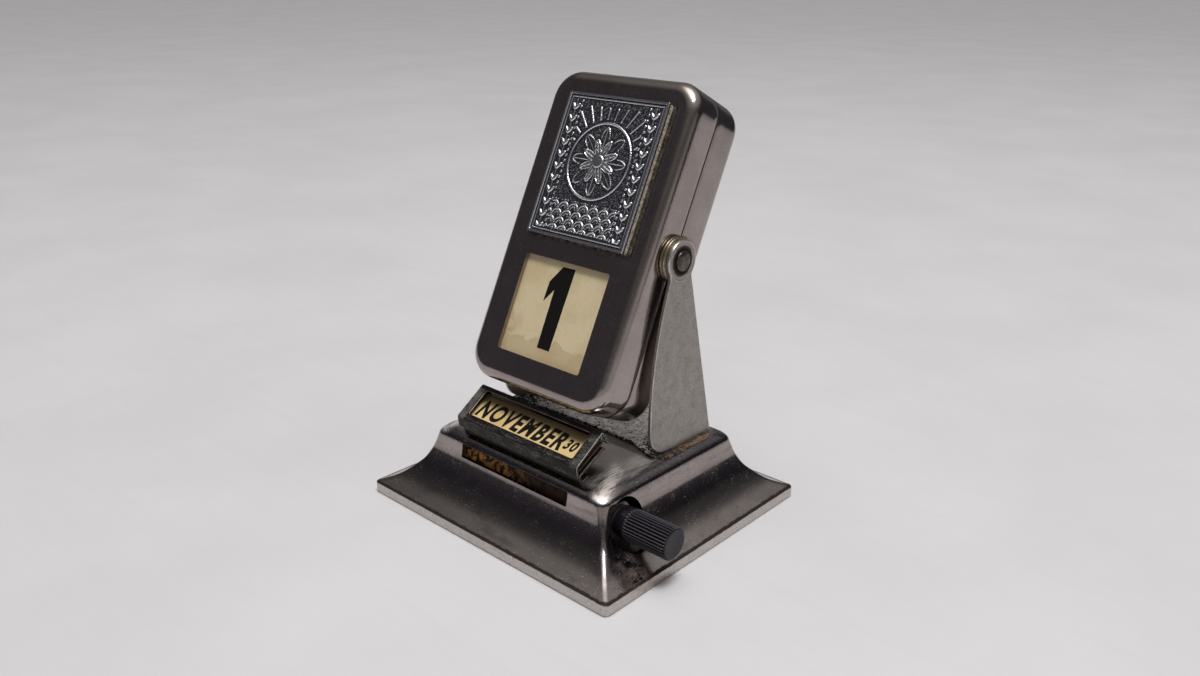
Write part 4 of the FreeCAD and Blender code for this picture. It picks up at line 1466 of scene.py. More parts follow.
@dataclass
class MonthHolder:
    """Month hood, its seat and the pack of month cards."""

    apex: Flat = HOOD_APEX  # Y and Z of the hood's upper fold
    length: float = 45.4  # Length of the hood
    sheet: float = 0.5  # Thickness of its sheet
    tilt: float = HOOD_TILT  # Slope of its face, in degrees
    depth: float = 11.8  # Depth of the face
    skirt: Flat = (3.2, 8.0)  # Length of the skirt below the tip and its tilt
    flap: float = 5.0  # Length of the strip behind the apex
    window: Trio = (39.4, 8.3, 1.6)  # Length, depth and distance from the apex of the window
    card_tilt: float = 28.0  # Slope of the cards, in degrees
    card_back: Flat = (-16.4935, 30.0)  # Y and Z of the top card's back edge
    card: Trio = (0.3, 0.06, 10.2)  # Thickness, film and depth of a card
    short: float = 3.3  # The top card's end short of the hood's
    seat_sheet: float = 0.6  # Thickness of the seat
    seat_ends: Flat = (1.3, 1.5)  # Apex to the seat's leg, and the hood's tip to its front fold
    seat_dip: float = 0.8  # How far its front foot reaches below the flat top

    def fold(self) -> list[Flat]:
        """Fold line of the hood: flap end, apex, tip, skirt end.

        Returns:
            Its points.
        """
        tilt, skirt = radians(self.tilt), radians(self.skirt[1])
        y, z = self.apex
        tip = (y - self.depth * cos(tilt), z - self.depth * sin(tilt))
        return [(y + self.flap * sin(tilt), z - self.flap * cos(tilt)), (y, z), tip,
                (tip[0] + self.skirt[0] * sin(skirt), tip[1] - self.skirt[0] * cos(skirt))]

    def on_face(self) -> Matrix:
        """Frame of the hood's face: origin at the apex, -Y down the face, +Z out of it.

        Returns:
            The frame, in metres.
        """
        spot = Matrix.Translation(Vector((0, self.apex[0], self.apex[1])) * MM)
        return spot @ Matrix.Rotation(radians(self.tilt), 4, "X")

    def hood(self, finish: Material, edge: Material) -> None:
        """Build the hood.

        Args:
            finish: Its material.
            edge: Material of its worn edges.
        """
        half = self.length / 2
        points = self.fold()
        piece = sheet_strip("month_hood_fine", points, self.sheet, -half, half, 0.75, 60)
        long, deep, top = self.window
        outline = [(a, b - top - deep / 2) for a, b in rounded_loop(long / 2, deep / 2, 0.5, 5)]
        cut(piece, plate("window_cut", outline, -1.2, 1.0, lying, self.on_face()))
        cheek = [(p[0] + n[0] * 0.2, p[1] + n[1] * 0.2) for p, n in bent_path(points, 0.75)]
        cheek_piece = plate("hood_cheek", cheek, -half + 0.02, -half + self.sheet, sideways)
        ear = self.ear()
        for part, width, nodes in ((piece, 0.15, ["month_hood"]), (cheek_piece, 0.12, ()), (ear, 0.1, ())):
            soften(part, width, finishes=(finish, edge))
            place_piece(part, Body.BASE, nodes)

    def ear(self) -> Piece:
        """Small folded corner at the right end of the upper fold.

        Returns:
            The piece.
        """
        y, z = self.apex
        half = self.length / 2
        outline = [(y - 0.2, z - 0.30), (y + 2.5, z - 4.0), (y - 0.4, z - 2.2)]
        return plate("hood_ear", outline, half - 0.75, half - 0.3, sideways)

    def seat(self, finish: Material, edge: Material) -> None:
        """Build the folded seat under the cards.

        Args:
            finish: Its material.
            edge: Material of its worn edges.
        """
        tilt = radians(self.card_tilt)
        pack = 6 * (self.card[0] + self.card[1])
        floor_y = self.card_back[0] + pack * sin(tilt)
        floor_z = self.card_back[1] - pack * cos(tilt)
        leg = self.apex[0] + self.seat_ends[0]
        front = self.fold()[2][0] + self.seat_ends[1]

        def floor(y: float) -> float:
            """Height of the sloping floor."""
            return floor_z - (floor_y - y) * tan(tilt)

        sheet = self.seat_sheet
        points = [(leg + 3.6, BASE_TOP + sheet), (leg, BASE_TOP + sheet), (leg, floor(leg)),
                  (front, floor(front)), (front + sheet, BASE_TOP - self.seat_dip), (front + sheet + 3.0, BASE_TOP)]
        half = self.length / 2
        piece = sheet_strip("month_seat_fine", points, sheet, -half + 0.5, half - 0.5, 0.65, 40)
        reach = leg - 0.5 - sheet
        tools = [block("foot_cut", (min(a, b), reach, 10), (max(a, b), 0, floor(reach) - sheet))
                 for a, b in ((-half - 1, -12), (12, half + 1))]
        cut(piece, *tools)
        soften(piece, 0.14, finishes=(finish, edge))
        place_piece(piece, Body.BASE, ["month_seat"])

    def card_frame(self, index: int) -> Matrix:
        """Frame of a month card: origin on its back edge, -Y down the slope, +Z out of it.

        Args:
            index: Number of the card from the top.

        Returns:
            The frame, in metres.
        """
        spot = Matrix.Translation(Vector((0, self.card_back[0], self.card_back[1])) * MM)
        turn = Matrix.Rotation(radians(self.card_tilt), 4, "X")
        lower = Matrix.Translation(Vector((0, 0, -index * (self.card[0] + self.card[1]))) * MM)
        return spot @ turn @ lower

    def cards(self, finish: Material, ink: Material) -> None:
        """Build the cards and the print on the one in view.

        Args:
            finish: Card stock.
            ink: Print.
        """
        thick, film, deep = self.card
        half = self.length / 2
        left = -half + 0.6
        for index in range(6):
            right = half - (self.short if index == 0 else (1.7, 0.7, 1.9, 1.2, 1.8)[index - 1])
            bulge = 0.9 if index == 0 else 0.0
            outline = card_outline(left, right - bulge, deep, 0.6, bulge)
            piece = plate(f"month_card_{index + 1}_fine", outline, -thick, 0.0, lying, self.card_frame(index))
            soften(piece, 0.06, 1)
            place_piece(piece, f"month_card_{index + 1}_body",
                        [f"month_card_{index + 1}"], finish)
        for name, text, box, lean in (("month_print", "NOVEMBER", (-19.5, 13.0, -7.75, -1.75), 0.24),
                                      ("days_print", "30", (13.3, 17.5, -6.6, -3.1), 0.22)):
            piece = lettering(name, text, box, lean, 0.025, self.card_frame(0))
            place_piece(piece, "month_card_1_body", (), ink)


def card_outline(left: float, right: float, deep: float, corner: float, bulge: float) -> list[Flat]:
    """Outline of a month card, whose right end may be curved.

    Args:
        left: Left end.
        right: Right end at the corners.
        deep: Depth.
        corner: Corner radius.
        bulge: How far the right end stands out at its middle.

    Returns:
        Its points.
    """
    shares = [k / 12 for k in range(13)]
    points = [(right + 4 * bulge * share * (1 - share), -deep + deep * share) for share in shares]
    loop = rounded_loop((right - left) / 2, deep / 2, corner, 5, 30, 2)
    shifted = [(a + (left + right) / 2, b - deep / 2) for a, b in loop]
    rest = [p for p in shifted if p[0] < right - corner - 0.01]
    return points + rest


def lettering(name: str, text: str, box: tuple[float, float, float, float], lean: float, thick: float,
              place: Matrix) -> Piece:
    """Slanted block letters fitted into a box.

    Args:
        name: Name of the object.
        text: The word.
        box: Left, right, low and high limit in millimetres.
        lean: Slant of the letters.
        thick: How far they stand out.
        place: Frame of the surface they stand on.

    Returns:
        The letters as a mesh.
    """
    curve = bpy.data.curves.new(name, "FONT")
    curve.body = text
    curve.shear = lean
    curve.offset = 0.040
    curve.space_character = 1.20
    curve.resolution_u = 6
    curve.extrude = 0.5
    holder = put(name, curve)
    bpy.context.view_layer.update()
    mesh = bpy.data.meshes.new_from_object(holder.evaluated_get(bpy.context.evaluated_depsgraph_get()))
    bpy.data.objects.remove(holder)
    co = np.array([v.co[:] for v in mesh.vertices])
    low, high = co.min(0), co.max(0)
    left, right, bottom, top = box
    co[:, 0] = left + (co[:, 0] - low[0]) / (high[0] - low[0]) * (right - left)
    co[:, 1] = bottom + (co[:, 1] - low[1]) / (high[1] - low[1]) * (top - bottom)
    co[:, 1] += 0.10 * np.sin(co[:, 0] * 0.9 + 1.0)
    co[:, 2] = (co[:, 2] - low[2]) / (high[2] - low[2]) * (thick + 0.05) - 0.05
    mesh.vertices.foreach_set("co", (co * MM).ravel())
    mesh.transform(place)
    return put(name, mesh)


@dataclass
class WeekdayRoller:
    """Weekday roller and its knob."""

    axis: Flat = ROLLER_AXIS  # Y and Z of the shaft
    radius: float = ROLLER_RADIUS  # Radius of the drum
    length: float = 48.0  # Length of the drum
    knob: Trio = (4.3, 32.0, 48.8)  # Radius, left and right end of the knob
    collar: float = 3.6  # Length of its smooth collar
    flutes: tuple[int, float] = (32, 0.42)  # Number of flutes and their depth

    def drum(self, finish: Material) -> None:
        """Build the drum.

        Args:
            finish: Its material.
        """
        half, wall = self.length / 2, 0.7
        rows = [(-half, 1.5), (-half, self.radius - 0.25), (-half + 0.08, self.radius - 0.08),
                (-half + 0.25, self.radius)]
        rows += [(-half + self.length * k / 24, self.radius) for k in range(1, 24)]
        rows += [(half - 0.25, self.radius), (half - 0.08, self.radius - 0.08), (half, self.radius - 0.25),
                 (half, 1.5), (half - wall, 1.5), (half - wall, self.radius - wall),
                 (-half + wall, self.radius - wall), (-half + wall, 1.5)]
        piece = turned("weekday_drum", rows, *self.axis, 96)
        place_piece(shade(piece, 40), Body.ROLLER, ["weekday_roller"], finish)

    def fluted(self, x: float, shrink: float, share: float) -> list[Point]:
        """One section of the knob.

        Args:
            x: Its place.
            shrink: How far it lies within the full radius.
            share: Share of the full flute depth.

        Returns:
            Its points.
        """
        count, depth = self.flutes
        y, z = self.axis
        points = []
        for turn in (2 * pi * k / (count * 10) for k in range(count * 10)):
            notch = 0.5 - 0.5 * cos(turn * count)
            radius = self.knob[0] - shrink - depth * share * (1 - notch)
            points.append((x, y + radius * cos(turn), z + radius * sin(turn)))
        return points

    def cap(self, finish: Material) -> None:
        """Build the knob.

        Args:
            finish: Its material.
        """
        _, start, end = self.knob
        seam = start + self.collar
        sections = [(start, 0.45, 0), (start + 0.15, 0.22, 0), (start + 0.45, 0.10, 0), (seam - 0.25, 0.05, 0),
                    (seam, 0.02, 0.25), (seam + 0.3, 0.0, 0.9), (seam + 0.8, 0, 1)]
        sections += [(seam + 0.8 + (end - 1.3 - seam) * k / 8, 0, 1) for k in range(1, 9)]
        sections += [(end - 0.28, 0.05, 0.9), (end - 0.12, 0.20, 0.45), (end - 0.03, 0.40, 0.1), (end, 0.62, 0),
                     (end, 0.9, 0), (end - 0.04, 1.6, 0), (end - 0.08, 2.9, 0), (end - 0.10, 3.9, 0)]
        solid = Solid()
        rings = [solid.ring(self.fluted(*row)) for row in sections]
        solid.strip(rings)
        solid.cap(rings[-1])
        hole = circle(*self.axis, 1.5, len(rings[0]))
        bore = [solid.ring([(x, *p) for p in hole]) for x in (start, end - 3.0)]
        solid.strip([rings[0], *bore])
        solid.cap(bore[1])
        piece = solid.build("fluted_knob")
        place_piece(shade(piece, 48), Body.ROLLER, ["roller_knob"], finish)


@dataclass
class DateHead:
    """Tilting head: two half shells, window, shown card, pins and washers.

    Its pieces are made upright about the pivot, with -Y to the front.
    """

    pivot: Flat = HEAD_PIVOT  # Y and Z of the axis
    lean: float = HEAD_LEAN  # Rest angle, in degrees
    half: Flat = (25.0, 43.65)  # Half width and half height of the case
    drop: float = 0.6  # Centre of the case below the pivot
    front: float = HEAD_FRONT  # Pivot to the front face
    back: float = 11.4  # Pivot to the back face
    corner: float = 8.0  # Corner radius
    edge: float = 3.4  # Rounding of the front and back edges
    wall: float = 0.9  # Thickness of the shells
    seam: float = 0.12  # Open seam
    # Half width, half height and height of the centre of the window
    window: Trio = (15.0, 13.4, -22.1)
    card_face: float = -8.85  # Y of the shown card's face
    pin_edge: tuple[Flat, ...] = ((-0.02, 2.0), (0.02, 2.3), (0.08, 2.55), (0.22, 2.65))  # Rise and radius
    washers: Flat = (25.1, 0.85)  # X of the first washer and the spacing of the two
    # Half profile of a washer
    washer: tuple[Flat, ...] = ((0, 2.2), (0, 5.85), (0.07, 6.03), (0.22, 6.1), (0.53, 6.1), (0.68, 6.03),
                                (0.75, 5.85), (0.75, 2.2))
    # Outline of the numeral as (x, z) points
    numeral: tuple[Flat, ...] = ((-1.84, -9.87), (2.5, -9.9), (2.13, -32.18), (-2.35, -32.17),
                                 (-2.56, -16.41), (-5.2, -19.99), (-5.09, -14.59))

    def place(self) -> Matrix:
        """Frame of the head at rest, in metres."""
        spot = Matrix.Translation(Vector((0, self.pivot[0], self.pivot[1])) * MM)
        return spot @ Matrix.Rotation(radians(-self.lean), 4, "X")

    def skin_rows(self, depth: float, side: int) -> list[tuple[float, float]]:
        """Inset and Y of the loops of one skin, from the seam to the face.

        Args:
            depth: How far it lies under the outer skin.
            side: -1 for the front shell, 1 for the rear one.

        Returns:
            The rows.
        """
        face = (self.back if side > 0 else self.front) - depth
        radius = self.edge - depth
        first = self.seam / 2
        rows = [(0.16, first), (0.05, first + 0.08), (0.0, first + 0.22)] if depth == 0 else [(depth, first)]
        straight = face - radius
        rows += [(depth, first + (straight - first) * share) for share in (0.25, 0.5, 0.75, 0.97)]
        turns = [pi / 2 * k / 12 for k in range(13)]
        rows += [(depth + radius * (1 - cos(t)), straight + radius * sin(t)) for t in turns]
        rows += [(depth + radius + more, face) for more in (0.15, 0.6)]
        return [(inset, side * y) for inset, y in rows]

    def half_shell(self, name: str, side: int, node: str, finish: Material) -> None:
        """Build one half shell.

        Args:
            name: Name of the piece.
            side: -1 for the front shell, 1 for the rear one.
            node: The node it replaces.
            finish: Its material.
        """
        solid = Solid()
        skins = []
        for depth in (0.0, self.wall):
            rings = []
            for inset, y in self.skin_rows(depth, side):
                loop = rounded_loop(self.half[0] - inset, self.half[1] - inset, self.corner - inset, 12, 30, 54)
                rings.append(solid.ring([(a, y, b - self.drop) for a, b in loop]))
            solid.strip(rings)
            solid.cap(rings[-1])
            skins.append(rings[0])
        solid.skin(*skins)
        piece = solid.build(name)
        tools = [plate("notch_cut", circle(0, 0, 2.4, 40), -30, 30, sideways)]
        if side < 0:
            across, up, centre = self.window
            outline = [(a, b + centre) for a, b in rounded_loop(across, up, 0.7, 5)]
            tools.append(plate("window_cut", outline, -self.front - 1, -self.front + 2, standing))
        cut(piece, *tools)
        piece.data.transform(self.place())
        place_piece(shade(piece, 36), Body.HEAD, [node], finish)

    def print_numeral(self, ink: Material) -> None:
        """Build the numeral on the shown card.

        Args:
            ink: Its material.
        """
        chance = np.random.default_rng(3)
        outline: list[Flat] = []
        count = len(self.numeral)
        for i, corner in enumerate(self.numeral):
            after = self.numeral[(i + 1) % count]
            steps = max(2, int(dist(corner, after) / 0.7))
            for k in range(steps):
                a, b = between(corner, after, k / steps)
                jitter = chance.normal(0, 0.018, 2) if k else (0.0, 0.0)
                outline.append((a + float(jitter[0]), b + float(jitter[1])))
        piece = plate("numeral", outline, self.card_face + 0.05, self.card_face - 0.03, standing, self.place())
        place_piece(piece, Body.SHOWN_CARD, (), ink)

    def pins(self, pin: Material, brass: Material) -> None:
        """Build the domed pins and the washers on both sides.

        Args:
            pin: Finish of the pins.
            brass: Finish of the washers.
        """
        y, z = self.pivot
        for side, name in ((-1, "left"), (1, "right")):
            rows = [(21.0, 0.001), (21.0, 1.7), (21.3, 2.0)]
            rows += [(ARM_OUTER + rise, radius) for rise, radius in self.pin_edge]
            turns = [pi / 2 * k / 10 for k in range(1, 11)]
            rows += [(ARM_OUTER + 0.22 + 0.68 * sin(t), 2.65 * cos(t) ** 0.8 + 0.001) for t in turns]
            piece = turned(f"pivot_pin_{name}", [(side * x, radius) for x, radius in rows], y, z, 56)
            nodes = ["pivot_pins"] if side > 0 else ()
            place_piece(shade(piece, 40), Body.HEAD, nodes, pin)
            for number in range(2):
                low = self.washers[0] + number * self.washers[1]
                rows = [(low + rise, radius) for rise, radius in self.washer]
                washer = turned(f"washer_{name}_{number + 1}", [(side * x, radius) for x, radius in rows], y, z, 72)
                nodes = ["pivot_washers"] if side > 0 and number == 0 else ()
                place_piece(shade(washer, 40), Body.HEAD, nodes, brass)


@dataclass
class Plaque:
    """Pressed relief sheet on its backing board."""

    size: Flat = (34.0, 39.2)  # Width and height
    centre: Flat = PLAQUE_CENTRE  # X and height of its centre above the pivot
    face: float = -HEAD_FRONT  # Y of the case's front face
    board: float = 1.45  # Thickness of the board
    sheet: float = 0.4  # Thickness of the sheet
    step: float = 0.16  # Spacing of the relief's points
    height: float = 0.62  # Height of the relief

    def backing(self, head: DateHead, finish: Material) -> None:
        """Build the board.

        Args:
            head: The head it is fixed to.
            finish: Its material.
        """
        cx, cz = self.centre
        loop = rounded_loop(self.size[0] / 2 - 0.12, self.size[1] / 2 - 0.12, 0.8, 5, 70, 80)
        chance = np.random.default_rng(12)
        solid = Solid()
        rings = []
        for y in np.linspace(self.face, self.face - self.board, 6):
            push = chance.uniform(-0.05, 0.06, len(loop))
            rings.append([(cx + a * (1 + p / 18), float(y), cz + b * (1 + p / 20)) for (a, b), p in zip(loop, push)])
        solid.tube(rings)
        piece = solid.build("plaque_board_fine", head.place())
        place_piece(shade(piece, 50), Body.HEAD, ["plaque_backing"], finish)

    def pattern(self, u: np.ndarray, v: np.ndarray) -> np.ndarray:
        """Height of the relief.

        Args:
            u: Places across the plaque, in millimetres from its centre.
            v: Places up the plaque.

        Returns:
            Height at each place, about 0 to 1.
        """
        half_u, half_v = self.size[0] / 2, self.size[1] / 2
        edge = np.minimum(half_u - np.abs(u), half_v - np.abs(v))

        def soft(value: np.ndarray, low: float, high: float) -> np.ndarray:
            """Smooth step."""
            t = np.clip((value - low) / (high - low), 0, 1)
            return t * t * (3 - 2 * t)

        def ridge(value: np.ndarray, centre: float, width: float) -> np.ndarray:
            """Rounded ridge."""
            return np.sqrt(np.clip(1 - ((value - centre) / width) ** 2, 0, 1))

        chance = np.random.default_rng(4)
        grain = chance.normal(0, 1, u.shape)
        grain = (grain + np.roll(grain, 1, 0) + np.roll(grain, 1, 1) + np.roll(grain, (1, 1), (0, 1))) / 4
        field_mask = soft(edge, 1.7, 2.0)
        height = (0.16 + 0.13 * grain) * field_mask
        height += 0.80 * soft(edge, 0.02, 0.14) * soft(0.86 - edge, 0.0, 0.16) + 0.48 * ridge(edge, 1.34, 0.24)
        centre = (0.0, 2.0)
        du, dv = u - centre[0], v - centre[1]
        radius, turn = np.hypot(du, dv), np.arctan2(dv, du)
        for count, reach, share, shift in ((8, 9.3, 0.26, 0.0), (8, 6.3, 0.42, pi / 8)):
            angle = (turn - shift) * count / 2
            limit = reach * (0.40 + 0.60 * np.abs(np.cos(angle)) ** 1.5)
            inside = soft(limit - radius, 0.0, 0.25)
            crease = 0.34 * ridge(np.sin(angle) * radius, 0.0, 0.42) * soft(radius, 1.5, 2.5)
            rim = 0.36 * ridge(limit - radius, 0.34, 0.30)
            height = np.where(inside > 0.5, share + np.maximum(crease, rim) - 0.08 * radius / reach, height)
        hub = 0.62 + 0.38 * np.sqrt(np.clip(1 - (radius / 1.9) ** 2, 0, 1))
        height = np.maximum(height, soft(1.9 - radius, 0, 0.3) * hub)
        ring = ridge(radius, 10.2, 0.34)
        height = np.maximum(height, 0.66 * ring)
        rays = ridge(np.abs(np.sin(turn * 15)), 0.0, 0.34) * soft(radius, 11.0, 11.4) * soft(16.5 - v, 0, 0.4)
        rays *= soft(v - centre[1], 1.5, 2.5) * soft(11.4 - np.abs(u), 0, 0.4) * soft(17.2 - radius, 0, 0.8)
        height = np.maximum(height, 0.6 * rays)
        low = soft(-9.2 - v, 0, 0.3) * soft(edge, 2.1, 2.4) * soft(11.4 - np.abs(u), 0, 0.4)
        row = np.floor((v + 18) / 2.1)
        scale_u = np.mod(u + np.where(np.mod(row, 2) == 0, 0, 1.75), 3.5) - 1.75
        scale_v = v + 18 - row * 2.1
        off = np.hypot(scale_u, scale_v - 0.1)
        scale = ridge(off, 1.55, 0.32) + 0.8 * ridge(off, 0.75, 0.25)
        height = np.maximum(height, 0.60 * low * np.clip(scale, 0, 1))
        side = np.abs(u) - 13.55
        place = np.mod(v, 3.3) - 1.65
        for flip in (-1, 1):
            a = side * flip
            along = (a * 0.62 + place * 0.78)
            over = (-a * 0.78 + place * 0.62)
            leaf = np.clip(1 - ((along - 0.95) / 1.25) ** 2 - (over / 0.52) ** 2, 0, 1)
            height = np.maximum(height, 0.85 * np.sqrt(leaf) * soft(edge, 1.8, 2.0))
        stem = ridge(side, 0.0, 0.20) * soft(edge, 1.8, 2.0)
        height = np.maximum(height, 0.45 * stem)
        bead = np.hypot(np.abs(u) - 11.65, np.mod(v, 1.5) - 0.75)
        height = np.maximum(height, 0.55 * np.sqrt(np.clip(1 - (bead / 0.42) ** 2, 0, 1)) * soft(edge, 1.9, 2.1))
        return height

    def relief(self, head: DateHead, finish: Material) -> None:
        """Build the pressed sheet.

        Args:
            head: The head it is fixed to.
            finish: Its material.
        """
        cx, cz = self.centre
        us, vs = (np.linspace(-size / 2, size / 2, int(size / self.step) + 1) for size in self.size)
        u, v = np.meshgrid(us, vs)
        height = self.pattern(u, v)
        blurred = height.copy()
        for _ in range(3):
            for axis in (0, 1):
                blurred = (np.roll(blurred, 2, axis) + np.roll(blurred, -2, axis) + 2 * blurred) / 4
        mark = np.clip(0.15 + 0.75 * height + 1.1 * (height - blurred), 0, 1)
        edge = np.minimum(self.size[0] / 2 - np.abs(u), self.size[1] / 2 - np.abs(v))
        drop = np.where(edge < 0.01, 0.25, 0.0)
        base = self.face - self.board - self.sheet
        ys = base - height * self.height + drop
        solid = Solid()
        rows = [solid.ring([(cx + float(a), float(y), cz + float(b)) for a, y in zip(us, line)])
                for b, line in zip(vs, ys)]
        solid.strip(rows, False)
        rim = rows[0] + [r[-1] for r in rows[1:]] + rows[-1][-2::-1] + [r[0] for r in rows[-2:0:-1]]
        lower = solid.ring([(x, self.face - self.board + 0.02, z) for x, _, z in (solid.points[n] for n in rim)])
        solid.skin(rim, lower)
        solid.cap(lower)
        piece = solid.build("pressed_relief", head.place())
        values = np.zeros(len(piece.data.vertices), np.float32)
        values[:mark.size] = mark.ravel()
        values[mark.size:] = 0.35
        stored = piece.data.attributes.new("ridge", "FLOAT", "POINT")
        stored.data.foreach_set("value", values)
        place_piece(shade(piece, 60), Body.HEAD, ["plaque"], finish)


@dataclass
class Studio:
    """Pale floor, soft lights and the camera."""

    target: Point = (7.7924, -1.7708, 50.0)  # Point the camera looks at, in millimetres
    distance: float = 271.804  # Its distance from there
    turn: Trio = (0.7398601, 0.3597108, 0.0048617)  # Azimuth, elevation and roll in radians
    focal: float = 1024.79  # Focal length in pixels of the 1200 pixel wide image
    # Sides of the room: azimuth in degrees, where its share begins and ends, and its light, each row an
    # elevation in degrees and a level
    room: tuple[tuple[float, float, float, tuple[Flat, ...]], ...] = (
        (-135, 0, 0, ((0, 0.075), (30, 0.070), (38, 0.08), (43, 0.15), (50, 0.28), (60, 0.38), (68, 1.2),
                      (76, 3.0), (90, 3.2))),
        (45, -0.5, 0.5, ((0, 0.05), (24, 0.05), (29, 0.08), (34, 0.16), (39, 0.28), (44, 0.45), (60, 0.5),
                         (68, 1.2), (76, 3.0), (90, 3.2))),
        (-42, 0.50, 0.85, ((0, 0.50), (10, 0.46), (14, 0.38), (19, 0.17), (26, 0.12), (34, 0.18), (60, 0.30),
                           (68, 1.2), (76, 3.0), (90, 3.2))),
        (132, 0.72, 0.95, ((0, 0.10), (12, 0.20), (30, 0.34), (45, 0.22), (60, 0.30), (68, 1.2), (76, 3.0),
                           (90, 3.2))))

    def camera(self) -> None:
        """Put the camera where the photograph was taken from."""
        azimuth, elevation, roll = self.turn
        back = Vector((sin(azimuth) * cos(elevation), -cos(azimuth) * cos(elevation),
                       sin(elevation)))
        right = Vector((cos(azimuth), sin(azimuth), 0))
        up = back.cross(right)
        rolled = right * cos(roll) + up * sin(roll)
        upward = up * cos(roll) - right * sin(roll)
        data = bpy.data.cameras.new("camera")
        data.sensor_width = 36
        data.lens = self.focal * 36 / 1200
        data.clip_start, data.clip_end = 0.01, 20
        camera = put("camera", data)
        place = Matrix((rolled, upward, back)).transposed().to_4x4()
        place.translation = (Vector(self.target) + back * self.distance) * MM
        camera.matrix_world = place
        bpy.context.scene.camera = camera

    def floor(self) -> None:
        """Lay the pale floor."""
        solid = Solid()
        rings = [solid.ring([(*p, -0.15) for p in circle(0, 0, radius, 96)]) for radius in (200, 600, 2000, 6000)]
        solid.strip(rings)
        solid.cap(rings[0])
        piece = solid.build("studio_floor")
        for face in piece.data.polygons:
            if face.normal.z < 0:
                face.flip()
        r = Recipe("pale_floor")
        cloud = r.noise(90, 4, 0.6, seed=1)
        streak = r.noise(5, 5, 0.6, (0.04, 1, 1), seed=2)
        colour = r.coat(r.mix((0.585, 0.575, 0.595, 1), (0.625, 0.615, 0.635, 1), r.step(cloud, 0.3, 0.7)),
                        ((0.56, 0.55, 0.57, 1), r.both(r.step(streak, 0.5, 0.75), 0.25)))
        piece.data.materials.append(r.done(colour, 0.0, 0.62, r.bump(streak, 0.05)))

    def world(self) -> None:
        """Give the room its level by elevation."""
        world = bpy.data.worlds.new("studio")
        bpy.context.scene.world = world
        world.use_nodes = True
        r = Nodes(world.node_tree)
        way = r.node("TexCoord", {}).outputs["Generated"]
        rise = r.calc("ARCSINE", r.node("SeparateXYZ", {0: way}).outputs["Z"], 0.5)
        share = r.calc("DIVIDE", rise, pi / 2)
        colour = None
        for azimuth, begin, end, levels in self.room:
            ramp = r.node("ValToRGB", {"Fac": share})
            stops = ramp.color_ramp.elements
            while len(stops) > 1:
                stops.remove(stops[-1])
            for i, (elevation, level) in enumerate(levels):
                stop = stops[0] if i == 0 else stops.new(elevation / 90)
                stop.position = elevation / 90
                green, blue = (0.94, 1.10) if level < 0.08 else (0.985, 0.97)
                stop.color = (level, level * green, level * blue, 1)
            side = (cos(radians(azimuth)), sin(radians(azimuth)), 0)
            light = ramp.outputs["Color"]
            if colour:
                facing = r.node("VectorMath", {0: way, 1: side}, operation="DOT_PRODUCT").outputs["Value"]
                light = r.mix(colour, light, r.step(facing, begin, end))
            colour = light
        r.node("OutputWorld", {0: r.node("Background", {"Color": colour}).outputs[0]})

    def lamp(self, name: str, way: Point, distance: float, size: Flat, power: float) -> None:
        """Hang a soft light.

        Args:
            name: Name of the light.
            way: Direction from the object.
            distance: Distance in metres.
            size: Its width and height in metres.
            power: Power in watts.
        """
        data = bpy.data.lights.new(name, "AREA")
        data.shape = "RECTANGLE"
        data.size, data.size_y = size
        data.energy = power
        data.color = (1.0, 0.985, 0.965)
        lamp = put(name, data)
        direction = Vector(way).normalized()
        lamp.location = direction * distance + Vector((0, 0, 0.05))
        lamp.rotation_euler = direction.to_track_quat("Z", "Y").to_euler()

    def build(self) -> None:
        """Set up the whole studio."""
        self.camera()
        self.floor()
        self.world()
        self.lamp("key", (0.25, -0.11, 0.96), 1.6, (0.45, 0.45), 15.0)
        bpy.context.scene.view_settings.view_transform = "Standard"


